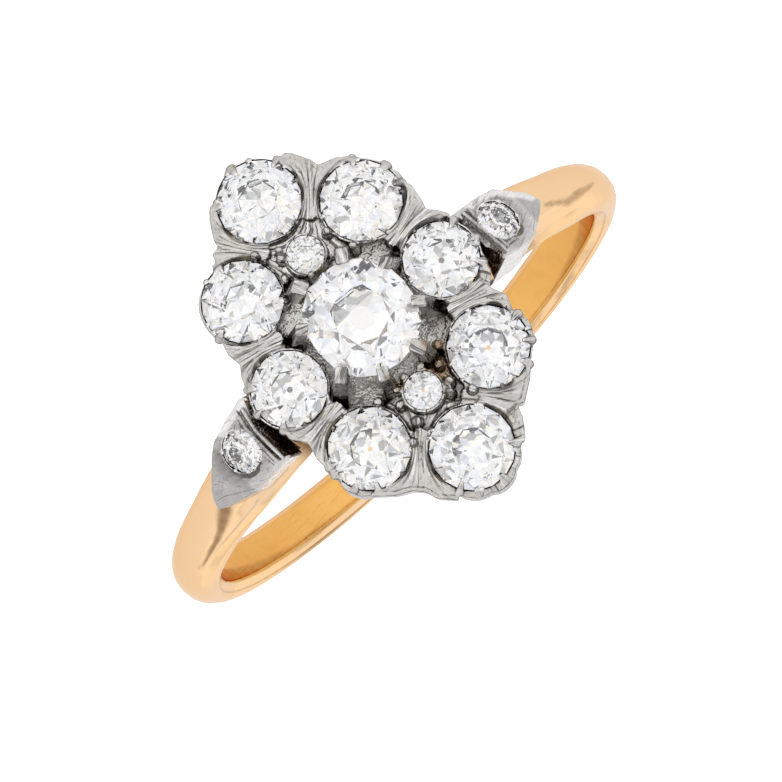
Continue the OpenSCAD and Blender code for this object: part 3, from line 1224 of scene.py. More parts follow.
@dataclass
class Shank:
    """The gold band, flat inside and crowned outside.

    Its tables start at the middle of the cluster and go 180 degrees round. Where there are two, one
    is for each half of the band.
    """

    stations: int = 72
    half_width: float = 0.87
    thickness: float = 1.2
    crown_power: float = 2.1
    waist: float = 0.38
    bore_edge: Pair = (0.71, 0.93)
    edge_rise: float = 0.24
    crease: float = 0.75
    opening_r: float = 0.54
    widths: tuple[Pairs, ...] = (
        ((0, 1.9), (22, 2.0), (32, 2.04), (45, 2.02), (55, 1.94), (95, 1.8), (180, 1.66)),
        (
            (0, 1.9), (22, 2.0), (32, 2.04), (45, 2.02), (55, 2.0), (95, 1.76), (114, 1.86), (135, 1.86),
            (180, 1.66)
        ),
    )
    sway: tuple[Pairs, ...] = (
        ((0, 0.0), (180, 0.0)),
        ((0, 0.0), (38, 0.04), (56, 0.14), (74, 0.08), (96, -0.05), (115, -0.13), (135, -0.13), (180, 0.0)),
    )
    heights: Pairs = (
        (0, 0.8), (22, 0.8), (27, 1.18), (45, 1.18), (62, 1.26), (180, 1.2)
    )
    shadow: Pairs = (
        (0, 0.9), (85, 0.9), (95, -0.3), (106, 0.0), (120, 0.2), (135, 0.38), (155, 0.45), (180, 0.5)
    )
    edge_line: float = 0.3
    square_to: Pairs = ((0, 1.21), (40, 1.21), (56, 1.04), (75, 1.0), (180, 1.0))

    def section(self) -> list[Vector]:
        """Draws the section at the back of the shank.

        Returns:
            A closed line across the finger.
        """
        inner, outer = self.bore_edge
        base = LAYOUT.finger_r
        middle = base + self.waist * self.thickness
        half = [
            (inner / 3, base),
            (inner, base),
            (outer, base + self.edge_rise * self.thickness),
        ]
        for degrees in (0, 22.5, 45, 67.5):
            turn = math.radians(degrees)
            side = math.cos(turn) ** (2 / self.crown_power)
            rise = math.sin(turn) ** (2 / self.crown_power)
            half.append((side, middle + rise * (1 - self.waist) * self.thickness))
        right = [Vector((0, side * self.half_width, reach)) for side, reach in half]
        left = [Vector((0, -point.y, point.z)) for point in reversed(right)]
        crown = Vector((0, 0, base + self.thickness))
        return [*right, crown, *left, right[0]]

    def shape_station(self, obj: bpy.types.Object, degrees: float) -> None:
        """Gives one section of the spun band its own width, thickness and squareness.

        Args:
            obj: the band, in edit mode.
            degrees: the section's direction from the middle of the cluster.
        """
        folded = 360 - degrees if degrees > 180 else degrees
        turn = math.radians(degrees)
        out = Vector((math.sin(turn), 0, math.cos(turn)))
        half = 0 if degrees < 180 else 1
        wide = lookup(folded, self.widths[half]) / 2 / self.half_width
        tall = lookup(folded, self.heights) / self.thickness
        square = lookup(folded, self.square_to)
        half_step = math.cos(math.radians(180 / self.stations))

        def here(place: Vector) -> bool:
            """Says whether a place is in this section."""
            flat = Vector((place.x, 0, place.z))
            return flat.normalized().dot(out) > half_step

        def corner(place: Vector) -> bool:
            """Says whether a place is on one of this section's outer corners.

            Args:
                place: the place.

            Returns:
                Whether it is.
            """
            reach = Vector((place.x, 0, place.z)).length - LAYOUT.finger_r
            high = self.waist * self.thickness * tall + 0.2
            return here(place) and reach > high and abs(place.y) > 0.4

        sway = Vector((0, lookup(folded, self.sway[half]), 0))
        Bench.pick(obj, here)
        bpy.ops.transform.resize(value=(tall, wide, tall), center_override=LAYOUT.finger_r * out)
        bpy.ops.transform.translate(value=sway)
        if square > 1:
            Bench.pick(obj, corner)
            middle = (LAYOUT.finger_r + self.waist * self.thickness * tall) * out + sway
            bpy.ops.transform.resize(value=(square,) * 3, center_override=middle)

    def build(self, finish: bpy.types.Material) -> None:
        """Makes the band in place of its CAD node.

        Args:
            finish: the material it gets.
        """
        obj = Bench.draw(self.section())
        with Bench.edit(obj, everything=True):
            bpy.ops.mesh.spin(steps=self.stations, angle=math.tau, center=(0, 0, 0), axis=(0, 1, 0))
        Bench.tidy(obj)
        with Bench.edit(obj):
            for station in range(self.stations):
                self.shape_station(obj, 360 * station / self.stations)
            Bench.pick(obj, lambda place: Vector((place.x, 0, place.z)).length < LAYOUT.finger_r + 0.01)
            bpy.ops.transform.edge_crease(value=self.crease)
        Bench.modify(obj, "SUBSURF", levels=2, render_levels=2)
        Bench.place(obj, LAYOUT.band)
        opening = Bench.start(
            bpy.ops.mesh.primitive_cylinder_add, vertices=48, radius=self.opening_r, depth=3,
            location=(*LAYOUT.opening, LAYOUT.finger_r)
        )
        Bench.cut(obj, opening)
        Bench.smooth(obj, 60)
        self.mark(obj)
        Bench.hand_over(obj, "shank_band", Slot.GOLD, finish, ["shank"])

    def reflection_at(self, degrees: float, across: float) -> float:
        """Says how dark the painted reflections make the crown at a place.

        Args:
            degrees: direction about the finger, from the middle of the cluster.
            across: place along the finger, in millimetres.

        Returns:
            0 for none, up to 1.
        """
        arc = math.radians(LAYOUT.finger_r + self.thickness)
        here = Vector((degrees * arc, across))
        dark = 0.0
        for streak in REFLECTION_STREAKS:
            spots = [(at * arc, y) for at, y in streak.places]
            for index, along, gap in along_line(here, spots):
                wide, narrow = streak.half_widths[index:index + 2]
                away = gap / (wide + (narrow - wide) * along)
                dark = max(dark, streak.strength * (1 - Shade.soft(away, 0.45, 1.25)))
        return dark

    def mark(self, obj: bpy.types.Object) -> None:
        """Writes into the band where its finish paints the deeper colour of light bouncing inside, where it
        paints reflections and shade, and the direction of the scratches.

        Args:
            obj: the band.
        """
        back = LAYOUT.band.inverted()
        inside, stain_and_shade, across, along, cut = [], [], [], [], []
        for vertex in obj.data.vertices:
            place = back @ vertex.co
            reach = math.hypot(place.x, place.z) - LAYOUT.finger_r
            degrees = math.degrees(math.atan2(place.x, place.z))
            # Inside the band the finish paints the deeper colour of light bouncing inside it.
            bore = 1 - Shade.soft(reach, 0.02, 0.07)
            inside.append(bore)
            # A painted dark reflection along one edge inside the band.
            shade = Shade.soft(place.y - lookup(abs(degrees), self.shadow), -0.08, 0.1)
            line = 1 - Shade.soft(abs(reach - self.edge_line), 0.02, 0.05)
            # Outside: painted dark reflections on the crown, and a thin dark line near the inside's edge.
            outside = self.reflection_at(degrees, place.y) if reach > 0.5 else 0.5 * line
            # Painted shade on the crown under the cluster.
            under = 1 - Shade.soft(abs(degrees), 22, 29)
            stain_and_shade.append(0.42 * shade * bore + max(outside, under) * (1 - bore))
            across.append(place.y * 9 + degrees * 0.25)
            along.append(degrees * 0.06)
            cut.append(0.3 * bore * Shade.soft(degrees, 70, 100))
        marks = {Shade.CREVICE: inside, Shade.STAIN_AND_SHADE: stain_and_shade}
        Shade.write(obj, marks | {Shade.ACROSS: across, Shade.ALONG: along, Shade.CUT: cut})


# Cluster


@dataclass(frozen=True)
class Wedge:
    """A forked wedge between two outer stones, seen from above."""

    first: Name
    second: Name
    outline: Pairs
    tips: Pair
    strands: tuple[float, ...] = (0.14, 0.5, 0.86)
    strand_r: float = 0.07
    sweep: float = 58.0


@dataclass(frozen=True)
class Claw:
    """A claw on a stone's outward side."""

    stone: Name
    turn: float
    spread: float = 1.0
    size: float = 0.15
    reach: float = 0.2


@dataclass(frozen=True)
class Rim:
    """A stretch where the collet's wall is thicker, between two directions from the stone."""

    stone: Name
    start: float
    end: float
    past: float


@dataclass(frozen=True)
class Prong:
    """A prong of the centre stone: the place of its top, its lean and turn, and its size."""

    x: float
    y: float
    lean: float = -20.0
    turn: float = 0.0
    size: float = 1.0


@dataclass(frozen=True)
class Pocket:
    """A crescent of painted shade beside a stone, between two directions from it."""

    start: float
    end: float
    least: float = 0.03
    fade: float = 0.05

    def share(self, away: Vector) -> float:
        """Returns how far round the crescent a direction is, from 0 to 1, or more where it is outside."""
        turn = math.degrees(math.atan2(away.y, away.x))
        return ((turn - self.start) % 360) / (self.end - self.start)

    def painted_shade(self, share: float, gap: float, depth: float) -> float:
        """Says how dark a place in the crescent is.

        Args:
            share: how far round the crescent it is.
            gap: its distance from the stone's rim.
            depth: how much deeper the crescent is in the middle than at its ends.

        Returns:
            0 for no painted shade, up to 1.
        """
        reach = self.least + depth * math.sin(math.pi * share)
        return 1 - Shade.soft(gap, reach, reach + self.fade)


WEDGES = (
    Wedge(
        Name.END_LOW, Name.CORNER_LOW_LEFT,
        (
            (-1.1, -5.85), (-1.6, -5.85), (-1.75, -5.7), (-2.05, -5.2), (-2.15, -4.85), (-2.75, -4.65),
            (-3.1, -4.4), (-3.1, -4.2), (-2.9, -4.05)
        ),
        (-153, -118)
    ),
    Wedge(
        Name.CORNER_LOW_LEFT, Name.SIDE_LEFT,
        (
            (-3.75, -2.95), (-3.95, -2.45), (-3.9, -1.9), (-3.8, -1.5), (-4.05, -1.25), (-4.25, -0.95)
        ),
        (163, -147), (0.14, 0.38, 0.62, 0.86)
    ),
    Wedge(
        Name.SIDE_LEFT, Name.CORNER_UP_LEFT,
        (
            (-4.0, 0.75), (-4.1, 1.0), (-4.05, 1.3), (-3.7, 1.7), (-3.95, 2.25), (-3.85, 2.5), (-3.65, 3.0)
        ),
        (136, -172), (0.12, 0.4, 0.65, 0.88)
    ),
    Wedge(
        Name.CORNER_UP_LEFT, Name.END_UP,
        (
            (-3.0, 4.05), (-3.2, 4.25), (-2.85, 4.65), (-2.2, 5.15), (-1.95, 5.05), (-1.8, 5.5),
            (-1.55, 5.9), (-1.4, 6.1)
        ),
        (116, 146), (0.12, 0.35, 0.6, 0.72, 0.88)
    ),
    Wedge(
        Name.END_UP, Name.CORNER_UP_RIGHT,
        (
            (1.4, 6.15), (1.85, 5.7), (2.0, 5.3), (2.3, 5.0), (2.8, 4.75), (3.35, 4.3)
        ),
        (34, 62), (0.12, 0.3, 0.7, 0.88)
    ),
    Wedge(
        Name.CORNER_UP_RIGHT, Name.SIDE_RIGHT,
        (
            (3.8, 3.2), (3.7, 2.65), (3.85, 2.65), (3.9, 2.3), (3.8, 1.85), (3.8, 1.65), (4.15, 1.2),
            (4.1, 0.85)
        ),
        (-15, 42), (0.12, 0.45, 0.86)
    ),
    Wedge(
        Name.SIDE_RIGHT, Name.CORNER_LOW_RIGHT,
        (
            (3.9, -0.6), (4.1, -1.0), (4.05, -1.2), (3.8, -1.6), (3.88, -2.1), (3.75, -2.6)
        ),
        (-40, 18), (0.14, 0.6, 0.86)
    ),
    Wedge(
        Name.CORNER_LOW_RIGHT, Name.END_LOW,
        (
            (2.75, -4.25), (2.3, -4.5), (2.2, -4.85), (1.9, -4.9), (1.85, -5.2), (1.55, -5.75),
            (1.35, -6.0), (1.1, -6.1)
        ),
        (-98, -32), (0.1, 0.24, 0.38, 0.52, 0.66, 0.8, 0.92), 0.05
    ),
)
CLAWS = (
    Claw(Name.END_LOW, -90, 1.7, 0.11, 0.3),
    Claw(Name.CORNER_LOW_LEFT, -165, 1.8, 0.12),
    Claw(Name.SIDE_LEFT, 172, 1.0, 0.12, 0.12),
    Claw(Name.CORNER_UP_LEFT, 149, 1.2, 0.14, 0.22),
    Claw(Name.END_UP, 95, 1.8, 0.11, 0.08),
    Claw(Name.CORNER_UP_RIGHT, 30, 1.6, 0.11, 0.1),
    Claw(Name.CORNER_UP_RIGHT, -3, 1.3, 0.11, 0.08),
    Claw(Name.SIDE_RIGHT, -2, 1.3, 0.11, 0.1),
)
RIMS = (
    Rim(Name.END_UP, 28, 80, 0.18),
    Rim(Name.END_UP, 68, 118, 0.23),
    Rim(Name.END_UP, 105, 150, 0.14),
    Rim(Name.CORNER_UP_LEFT, 150, 200, 0.15),
    Rim(Name.SIDE_LEFT, 112, 152, 0.12),
    Rim(Name.CORNER_LOW_RIGHT, -60, 25, 0.06),
    Rim(Name.CORNER_UP_RIGHT, 5, 62, 0.15),
    Rim(Name.CORNER_LOW_LEFT, 160, 185, 0.14),
)
PRONGS = (
    Prong(-0.82, -1.95, -12, 8, 0.95), Prong(-1.94, -0.92, -30, -14, 0.9), Prong(0.86, -1.98, -20, -10),
    Prong(1.81, -0.97, -34, 16, 0.92), Prong(-1.72, 0.82, -28, 12, 0.9), Prong(-0.79, 2.04, -16, -12, 0.95),
    Prong(0.65, 1.87, -30, 10, 0.9), Prong(1.69, 1.02, -10, -16, 0.95),
)
RIBBED = {
    Name.END_UP: (60, 185),
    Name.SIDE_LEFT: (110, 160),
    Name.CORNER_UP_LEFT: (130, 200),
    Name.SIDE_RIGHT: (-20, 30),
}
# Crescents of painted shade beside each outer stone.
POCKETS = {
    Name.END_LOW: (Pocket(138, 184), Pocket(-8, 36)),
    Name.CORNER_LOW_LEFT: (Pocket(-82, -25), Pocket(126, 170)),
    Name.SIDE_LEFT: (Pocket(-138, -75), Pocket(104, 122)),
    Name.CORNER_UP_LEFT: (Pocket(-150, -128), Pocket(62, 88)),
    Name.END_UP: (Pocket(162, 214), Pocket(-34, 12)),
    Name.CORNER_UP_RIGHT: (Pocket(93, 124), Pocket(-92, -42)),
    Name.SIDE_RIGHT: (Pocket(68, 120), Pocket(-104, -64)),
    Name.CORNER_LOW_RIGHT: (Pocket(42, 64), Pocket(-166, -98)),
}
BEADS = (
    (0.66, -3.28, 0.16), (0.55, -3.53, 0.13), (0.97, -2.7, 0.17), (0.28, -2.25, 0.14), (-0.96, -3.0, 0.15),
    (-0.87, -2.15, 0.2), (-0.6, 3.47, 0.15), (0.78, 3.48, 0.17), (0.84, 2.74, 0.15), (0.2, 2.11, 0.13),
    (-0.79, 3.17, 0.18), (-0.9, 2.55, 0.15), (1.25, -3.9, 0.15), (-1.2, 3.85, 0.16), (1.3, 3.9, 0.14),
    (-0.45, 2.2, 0.16), (0.62, 2.3, 0.14), (-1.25, 2.05, 0.17), (1.3, 2.2, 0.15), (-1.3, -2.1, 0.15),
)
WARM_PATCHES = ((-0.75, 2.7, 0.75), (-1.2, 2.0, 0.6), (0.5, 2.15, 0.4), (0.0, -2.2, 0.35))


def outward_of(first: Seat, second: Seat) -> tuple[Vector, Vector, Vector]:
    """Finds the directions between two seats.

    Args:
        first: one seat.
        second: its neighbour.

    Returns:
        The place between them, the direction from the first to the second, and the outward direction.
    """
    middle = Vector(((first.x + second.x) / 2, (first.y + second.y) / 2, LAYOUT.cluster_z))
    apart = Vector((second.x - first.x, second.y - first.y, 0)).normalized()
    outward = Vector((apart.y, -apart.x, 0))
    if outward.dot(middle) < 0:
        outward = -outward
    return middle, apart, outward


def flow(first: Seat, second: Seat, fraction: float, swing: float, height: float) -> Vector:
    """Finds a place on the lines that flow between two stones and part to follow their rims.

    Args:
        first: one seat.
        second: its neighbour.
        fraction: part of the way from the first to the second.
        swing: angle along both rims, outwards from where they are nearest.
        height: height above the girdles.

    Returns:
        The place, in the cluster's frame.
    """
    _, apart, outward = outward_of(first, second)
    turn = math.radians(swing)
    side = outward * math.sin(turn)
    spots = []
    for seat, sign in ((first, 1), (second, -1)):
        way = side + sign * apart * math.cos(turn)
        spots.append(seat.spot(math.degrees(math.atan2(way.y, way.x)), 0.05, height))
    return spots[0].lerp(spots[1], fraction)


@dataclass
class ClusterSetting:
    """White metal of the cluster: collets, wedges, claws, prongs and the gallery under them."""

    rim: float = 0.03
    wall: float = 0.07
    thin_wall: float = 0.04
    thin: tuple[Name, ...] = (Name.END_LOW, Name.CORNER_LOW_RIGHT)
    collet_drop: float = 1.4
    collet_foot: float = 0.72
    accent_wall: float = 0.08
    accent_foot: float = 1.1
    plate_rise: float = 0.08
    wedge_fall: float = 3.0
    strand_dip: float = 0.12
    lip_inset: float = 0.05
    lip_r: float = 0.085
    web_drop: float = 0.16
    gap: float = 0.015
    voxel: float = 0.042
    face_budget: int = 130000
    prong_w: float = 0.53
    prong_past: float = 0.24
    prong_voxel: float = 0.03
    prong_budget: int = 30000
    opening_r: float = 0.66
    plate_drops: Pair = (0.98, 0.6)
    gallery_sizes: Pair = (1.06, 0.86)
    gallery_height: float = 0.45
    saddle: Pair = (2.8, 0.75)
    web: Pairs = ((-1.9, 2.35), (1.9, 2.35), (1.6, 4.2), (-1.6, 4.2))
    cup: Pairs = ((0, -1.2), (1.15, -1.2), (1.45, -0.3), (1.4, -0.2), (0, -0.2))
    shaft: float = 0.4
    grains: int = 9
    lines_across: float = 13.0
    lines_from: float = 10.5
    # Painted shade along the cluster: steps of how far a place lies towards the upper end, and how much
    # darker it is there.
    upper_end_shade: Pairs = ((-6, -0.14), (0, 0.0), (5, 0.2), (9, 0.2))
    prong_lines: float = 11.7
    prong_reach: float = 1.35

    def collet(self, seat: Seat, wall: float, drop: float, foot: float) -> bpy.types.Object:
        """Turns the cone that holds a stone.

        Args:
            seat: the stone's seat.
            wall: metal past the stone's rim.
            drop: depth below the girdle.
            foot: radius at the foot, as a part of the stone's.

        Returns:
            The new object.
        """
        outer = seat.radius + wall
        profile = [
            (0, -drop), (foot * seat.radius, -drop), (outer, -0.25),
            (outer, 0), (outer - 0.03, self.rim), (0, self.rim)
        ]
        obj = Bench.lathe(profile)
        Bench.place(obj, seat.frame)
        return obj

    def claw(self, claw: Claw) -> list[bpy.types.Object]:
        """Makes a claw that rises along the collet and bends over the stone's rim.

        Args:
            claw: its place and sizes.

        Returns:
            Its two pins.
        """
        seat = SEATS[claw.stone]
        foot = seat.spot(claw.turn, -0.2, -1.0)
        knee = seat.spot(claw.turn, 0.08, 0.02)
        tip = seat.spot(claw.turn, -claw.reach, 0.14 + 0.6 * claw.reach)
        across = polar(claw.turn + 90, 1)
        return [
            Bench.pin(knee, foot, claw.size, claw.size * 0.8, across, claw.spread),
            Bench.pin(knee, tip, claw.size, claw.size * 0.45, across, claw.spread),
        ]

    def thick_rim(self, rim: Rim) -> bpy.types.Object:
        """Makes a thicker stretch of a collet's wall, which thins out at both ends.

        Args:
            rim: its place and size.

        Returns:
            The new object.
        """
        seat = SEATS[rim.stone]
        turns = [rim.start + (rim.end - rim.start) * step / 8 for step in range(9)]
        swell = [math.sin(math.pi * step / 8) ** 0.5 for step in range(9)]
        outer = [seat.spot(turn, 0.04 + rim.past * share, 0) for turn, share in zip(turns, swell)]
        inner = [seat.spot(turn, -0.2, 0) for turn in reversed(turns)]
        level = sum(place.z for place in outer) / len(outer)
        return Bench.slab([(place.x, place.y) for place in (*outer, *inner)], level - 0.8, level + 0.02)

    def column(self, seat: Seat) -> bpy.types.Object:
        """Makes the upright column that clears the metal above a stone's rim.

        Args:
            seat: the stone's seat.

        Returns:
            The new object.
        """
        radius = seat.radius + self.gap
        obj = Bench.lathe([(0, -0.1), (radius, -0.1), (radius, 2), (0, 2)], 64)
        Bench.place(obj, seat.frame)
        return obj

    @staticmethod
    def rope(path: Sequence[Vector], size: float) -> list[bpy.types.Object]:
        """Lays pins of one size along a path."""
        return [Bench.pin(start, end, size, size * 0.97) for start, end in zip(path, path[1:])]

    def wedge(self, wedge: Wedge) -> list[bpy.types.Object]:
        """Makes a forked wedge, with strands on it and a claw at each tip.

        Args:
            wedge: where it is.

        Returns:
            The pieces that make it.
        """
        first, second = SEATS[wedge.first], SEATS[wedge.second]
        middle, apart, outward = outward_of(first, second)
        root = middle - outward * 0.6
        ends = [root + apart * 0.12, root - apart * 0.12]
        outline = [*wedge.outline, *((end.x, end.y) for end in ends)]
        top = flow(first, second, 0.5, 45, self.plate_rise)
        slab = Bench.slab(outline, top.z - 1.0, top.z)
        fall = Matrix.Rotation(math.radians(self.wedge_fall), 4, -apart)
        tilt = Matrix.Translation(top) @ fall @ Matrix.Translation(-top)
        Bench.place(slab, tilt)
        Bench.cut(slab, self.column(first))
        Bench.cut(slab, self.column(second))
        pieces = [slab]
        for fraction in wedge.strands:
            spread = abs(2 * fraction - 1)
            swings = [-22, 8, 32, 32 + (wedge.sweep - 32) * (0.35 + 0.65 * spread)]
            path = [flow(first, second, fraction, swing, self.plate_rise) for swing in swings]
            path[0].z -= self.strand_dip
            pieces += self.rope(path, wedge.strand_r)
        lip = [tilt @ Vector((x, y, top.z)) for x, y in wedge.outline]
        lip = [place + (middle - place).normalized() * self.lip_inset for place in lip]
        pieces += self.rope(lip, self.lip_r)
        for seat, turn in ((first, wedge.tips[0]), (second, wedge.tips[1])):
            knee = seat.spot(turn, 0.1, 0.04)
            tip = seat.spot(turn, -0.2, 0.24)
            pieces.append(Bench.pin(knee, tip, 0.13, 0.06, polar(turn + 90, 1), 1.2))
        return pieces

    def grain(self, seat: Seat, index: int) -> bpy.types.Object:
        """Makes one of the small grains of metal pushed over a stone's rim, each a little different.

        Args:
            seat: the stone's seat.
            index: which of its grains.

        Returns:
            The new object.
        """
        turn = 360 / self.grains * index + 41 * seat.x + 17 * math.sin(3 * index + seat.y)
        size = 0.06 + 0.03 * abs(math.sin(5 * index + seat.x))
        knee, tip = seat.spot(turn, 0.03, 0.02), seat.spot(turn, -0.06, 0.11)
        return Bench.pin(knee, tip, size, 0.6 * size, polar(turn + 90, 1), 1.4)

    def plate(self) -> list[bpy.types.Object]:
        """Makes the plate that the collets stand on, and the gallery and the saddle under it.

        Returns:
            Its pieces.
        """
        top, low = LAYOUT.cluster_z, LAYOUT.gallery_z
        outline = [(seat.x, seat.y) for seat in SEATS.values()]
        plate = Bench.slab(outline, top - self.plate_drops[0], top - self.plate_drops[1])
        outer, inner = ([(x * size, y * size) for x, y in outline] for size in self.gallery_sizes)
        bar = Bench.slab(outer, low, low + self.gallery_height)
        Bench.cut(bar, Bench.slab(inner, low - 1, low + 1))
        x, y = self.saddle
        saddle = Bench.slab([(-x, -y), (x, -y), (x, y), (-x, y)], LAYOUT.finger_r, top - 0.8)
        Bench.cut(saddle, Bench.drum(low, 4, 128))
        level = top - self.web_drop
        webs = [Bench.slab([(x, side * y) for x, y in self.web], level - 0.6, level) for side in (-1, 1)]
        return [plate, bar, saddle, *webs]

    def prong(self, prong: Prong) -> bpy.types.Object:
        """Makes a square prong of the centre stone, which leans in from the plate.

        Args:
            prong: its place and angles.

        Returns:
            The new object.
        """
        turn = math.atan2(prong.y, prong.x)
        rim = 1 / math.hypot(math.cos(turn) / CENTRE_HALF_W, math.sin(turn) / CENTRE_HALF_L)
        foot, bend = (0.55, 0, -2.0), (0, 0, 0.2)
        obj = Bench.start(bpy.ops.mesh.primitive_cube_add, size=self.prong_w)
        with Bench.edit(obj):
            Bench.pick(obj, lambda place: place.z < 0)
            bpy.ops.transform.translate(value=foot)
            bpy.ops.transform.resize(value=(1.1, 1.2, 1), center_override=foot)
            Bench.pick(obj, lambda place: place.z > 0)
            bpy.ops.transform.resize(value=(1.1, 0.85, 1))
            for angle, axis in ((prong.lean, "Y"), (prong.turn, "Z")):
                bpy.ops.transform.rotate(value=math.radians(angle), orient_axis=axis, center_override=bend)
        Bench.modify(obj, "BEVEL", width=0.07, segments=2)
        seat = Matrix.Rotation(turn, 4, "Z") @ Matrix.Diagonal((prong.size, prong.size, 1, 1))
        Bench.place(obj, seat @ Matrix.Translation((rim + self.prong_past, 0, LAYOUT.centre_z - 0.02)))
        return obj

    def bead(self, x: float, y: float, size: float) -> bpy.types.Object:
        """Makes a bead of metal raised beside a small stone."""
        top = Vector((x, y, LAYOUT.accent_z + 0.02))
        return Bench.pin(top, top - Vector((0, 0, 1.2)), size, size * 1.3)

    def seat_tool(self, seat: Seat) -> bpy.types.Object:
        """Makes the tool that cuts a round stone's seat.

        Args:
            seat: the stone's seat.

        Returns:
            The tool.
        """
        radius = seat.radius
        girdle = 0.03 * radius + self.gap
        profile = [
            (0, -3), (self.shaft * radius, -3), (self.shaft * radius, -0.6 * radius),
            (radius + self.gap, -girdle), (radius + self.gap, girdle),
            (0.76 * radius + self.gap, girdle + 0.21 * radius),
            (0.5 * radius + self.gap, girdle + 0.34 * radius),
            (0.5 * radius + self.gap, 2), (0, 2)
        ]
        obj = Bench.lathe(profile, 64)
        Bench.place(obj, seat.frame)
        return obj

    def centre_tool(self) -> bpy.types.Object:
        """Makes the tool that cuts the centre stone's seat, and the opening under it.

        Returns:
            The tool.
        """
        profile = [
            (0, -1.58), (0.34, -1.58), (1.02, -0.08), (1.02, 0.08),
            (0.76, 0.46), (0.5, 0.68), (0.5, 2), (0, 2)
        ]
        obj = Bench.lathe(profile, 64)
        stretch = Matrix.Diagonal((CENTRE_HALF_W, CENTRE_HALF_L, 1, 1))
        Bench.place(obj, Matrix.Translation((0, 0, LAYOUT.centre_z)) @ stretch)
        return obj

    def opening_tool(self) -> bpy.types.Object:
        """Makes the tool that pierces the gallery under the centre stone.

        Returns:
            The tool.
        """
        obj = Bench.lathe([(0, 7), (self.opening_r, 7), (self.opening_r, 10.85), (0, 10.85)], 32)
        Bench.place(obj, Matrix.Translation((*LAYOUT.opening, 0)))
        return obj

    def cast(self) -> bpy.types.Object:
        """Makes all the metal but the prongs as one body, before its seats are cut.

        Returns:
            The body.
        """
        pieces = []
        for name, seat in SEATS.items():
            wall = self.thin_wall if name in self.thin else self.wall
            pieces.append(self.collet(seat, wall, self.collet_drop, self.collet_foot))
        for seat in ACCENTS:
            pieces.append(self.collet(seat, self.accent_wall, self.collet_drop, self.accent_foot))
        for wedge in WEDGES:
            pieces += self.wedge(wedge)
        for claw in CLAWS:
            pieces += self.claw(claw)
        pieces += [self.thick_rim(rim) for rim in RIMS]
        pieces += [self.grain(seat, index) for seat in SEATS.values() for index in range(self.grains)]
        pieces += [self.bead(*bead) for bead in BEADS]
        pieces += self.plate()
        cup = Bench.lathe(self.cup)
        Bench.place(cup, Matrix.Translation((0, 0, LAYOUT.cluster_z)))
        pieces.append(cup)
        body = Bench.join(pieces)
        Bench.fuse(body, self.voxel, 2, self.face_budget)
        return body

    def painted_shade(self, place: Vector) -> float:
        """Says how much painted shade a place gets: more towards the upper end, less near the small stones,
        and in the crescents beside the stones.

        Args:
            place: the place.

        Returns:
            How dark, where less than 0 is bright.
        """
        # Painted shade that grows towards the upper end of the cluster.
        dark = lookup(place.y - 0.3 * place.x, self.upper_end_shade)
        # Less painted shade near the small stones.
        near = min((place.xy - Vector((seat.x, seat.y))).length for seat in ACCENTS)
        dark -= 0.3 * (1 - Shade.soft(near, 0.8, 1.6))
        for name, seat in SEATS.items():
            away = Vector((place.x - seat.x, place.y - seat.y))
            gap = away.length - seat.radius
            if abs(gap) > 0.25:
                continue
            for pocket in POCKETS[name]:
                share = pocket.share(away)
                if share < 1:
                    dark = max(dark, 0.5 * pocket.painted_shade(share, gap, 0.1))
        return dark

    def mark_stains(self, body: bpy.types.Object) -> None:
        """Writes warm brown patches about the small stones into the metal.

        Args:
            body: the metal.
        """
        stain_and_shade = []
        for vertex in body.data.vertices:
            away = [(vertex.co.xy - Vector((x, y))).length / reach for x, y, reach in WARM_PATCHES]
            stain_and_shade.append(0.8 * (1 - Shade.soft(min(away), 0.3, 1.0)))
        Shade.write(body, {Shade.STAIN_AND_SHADE: stain_and_shade})

    def flow_at(self, place: Vector) -> tuple[float, float, float]:
        """Finds how engraved lines run at a place: between two stones, about one, or about the centre.

        Args:
            place: the place, in the cluster's frame.

        Returns:
            How far across the lines it is, how far along them, and how deep they are there.
        """
        inner = math.hypot(place.x / CENTRE_HALF_W, place.y / CENTRE_HALF_L)
        if inner < self.prong_reach and place.z > self.prong_lines:
            return math.atan2(place.y, place.x) * 16, inner * 1.5, 0.8
        names, seats = list(SEATS), list(SEATS.values())
        gaps = [math.hypot(place.x - seat.x, place.y - seat.y) - seat.radius for seat in seats]
        first, second = sorted(sorted(range(len(seats)), key=gaps.__getitem__)[:2])
        near, far = max(gaps[first], 0.0), max(gaps[second], 0.0)
        closest = first if near < far else second
        seat = seats[closest]
        turn = math.degrees(math.atan2(place.y - seat.y, place.x - seat.x))
        start, end = RIBBED.get(names[closest], (0, 0))
        ribbed = (turn - start) % 360 < end - start and gaps[closest] < 0.6
        middle, _, outward = outward_of(seats[first], seats[second])
        out = (place - middle).dot(outward)
        share = near / (near + far + 0.001)
        across = turn * 0.22 if ribbed else share * self.lines_across + 11.3 * first
        level = 1.0 if ribbed else 1 - 0.65 * Shade.soft(out, 0.7, 1.3)
        high = Shade.soft(place.z, self.lines_from, self.lines_from + 0.25)
        return across, out * 0.7, 0.85 * high * Shade.soft(inner, 1.25, 1.45) * level

    def mark_flow(self, body: bpy.types.Object) -> None:
        """Writes into the metal how lines flow over it, for its finish to follow."""
        across, along, cut = zip(*(self.flow_at(vertex.co) for vertex in body.data.vertices))
        Shade.write(body, {Shade.ACROSS: across, Shade.ALONG: along, Shade.CUT: cut})

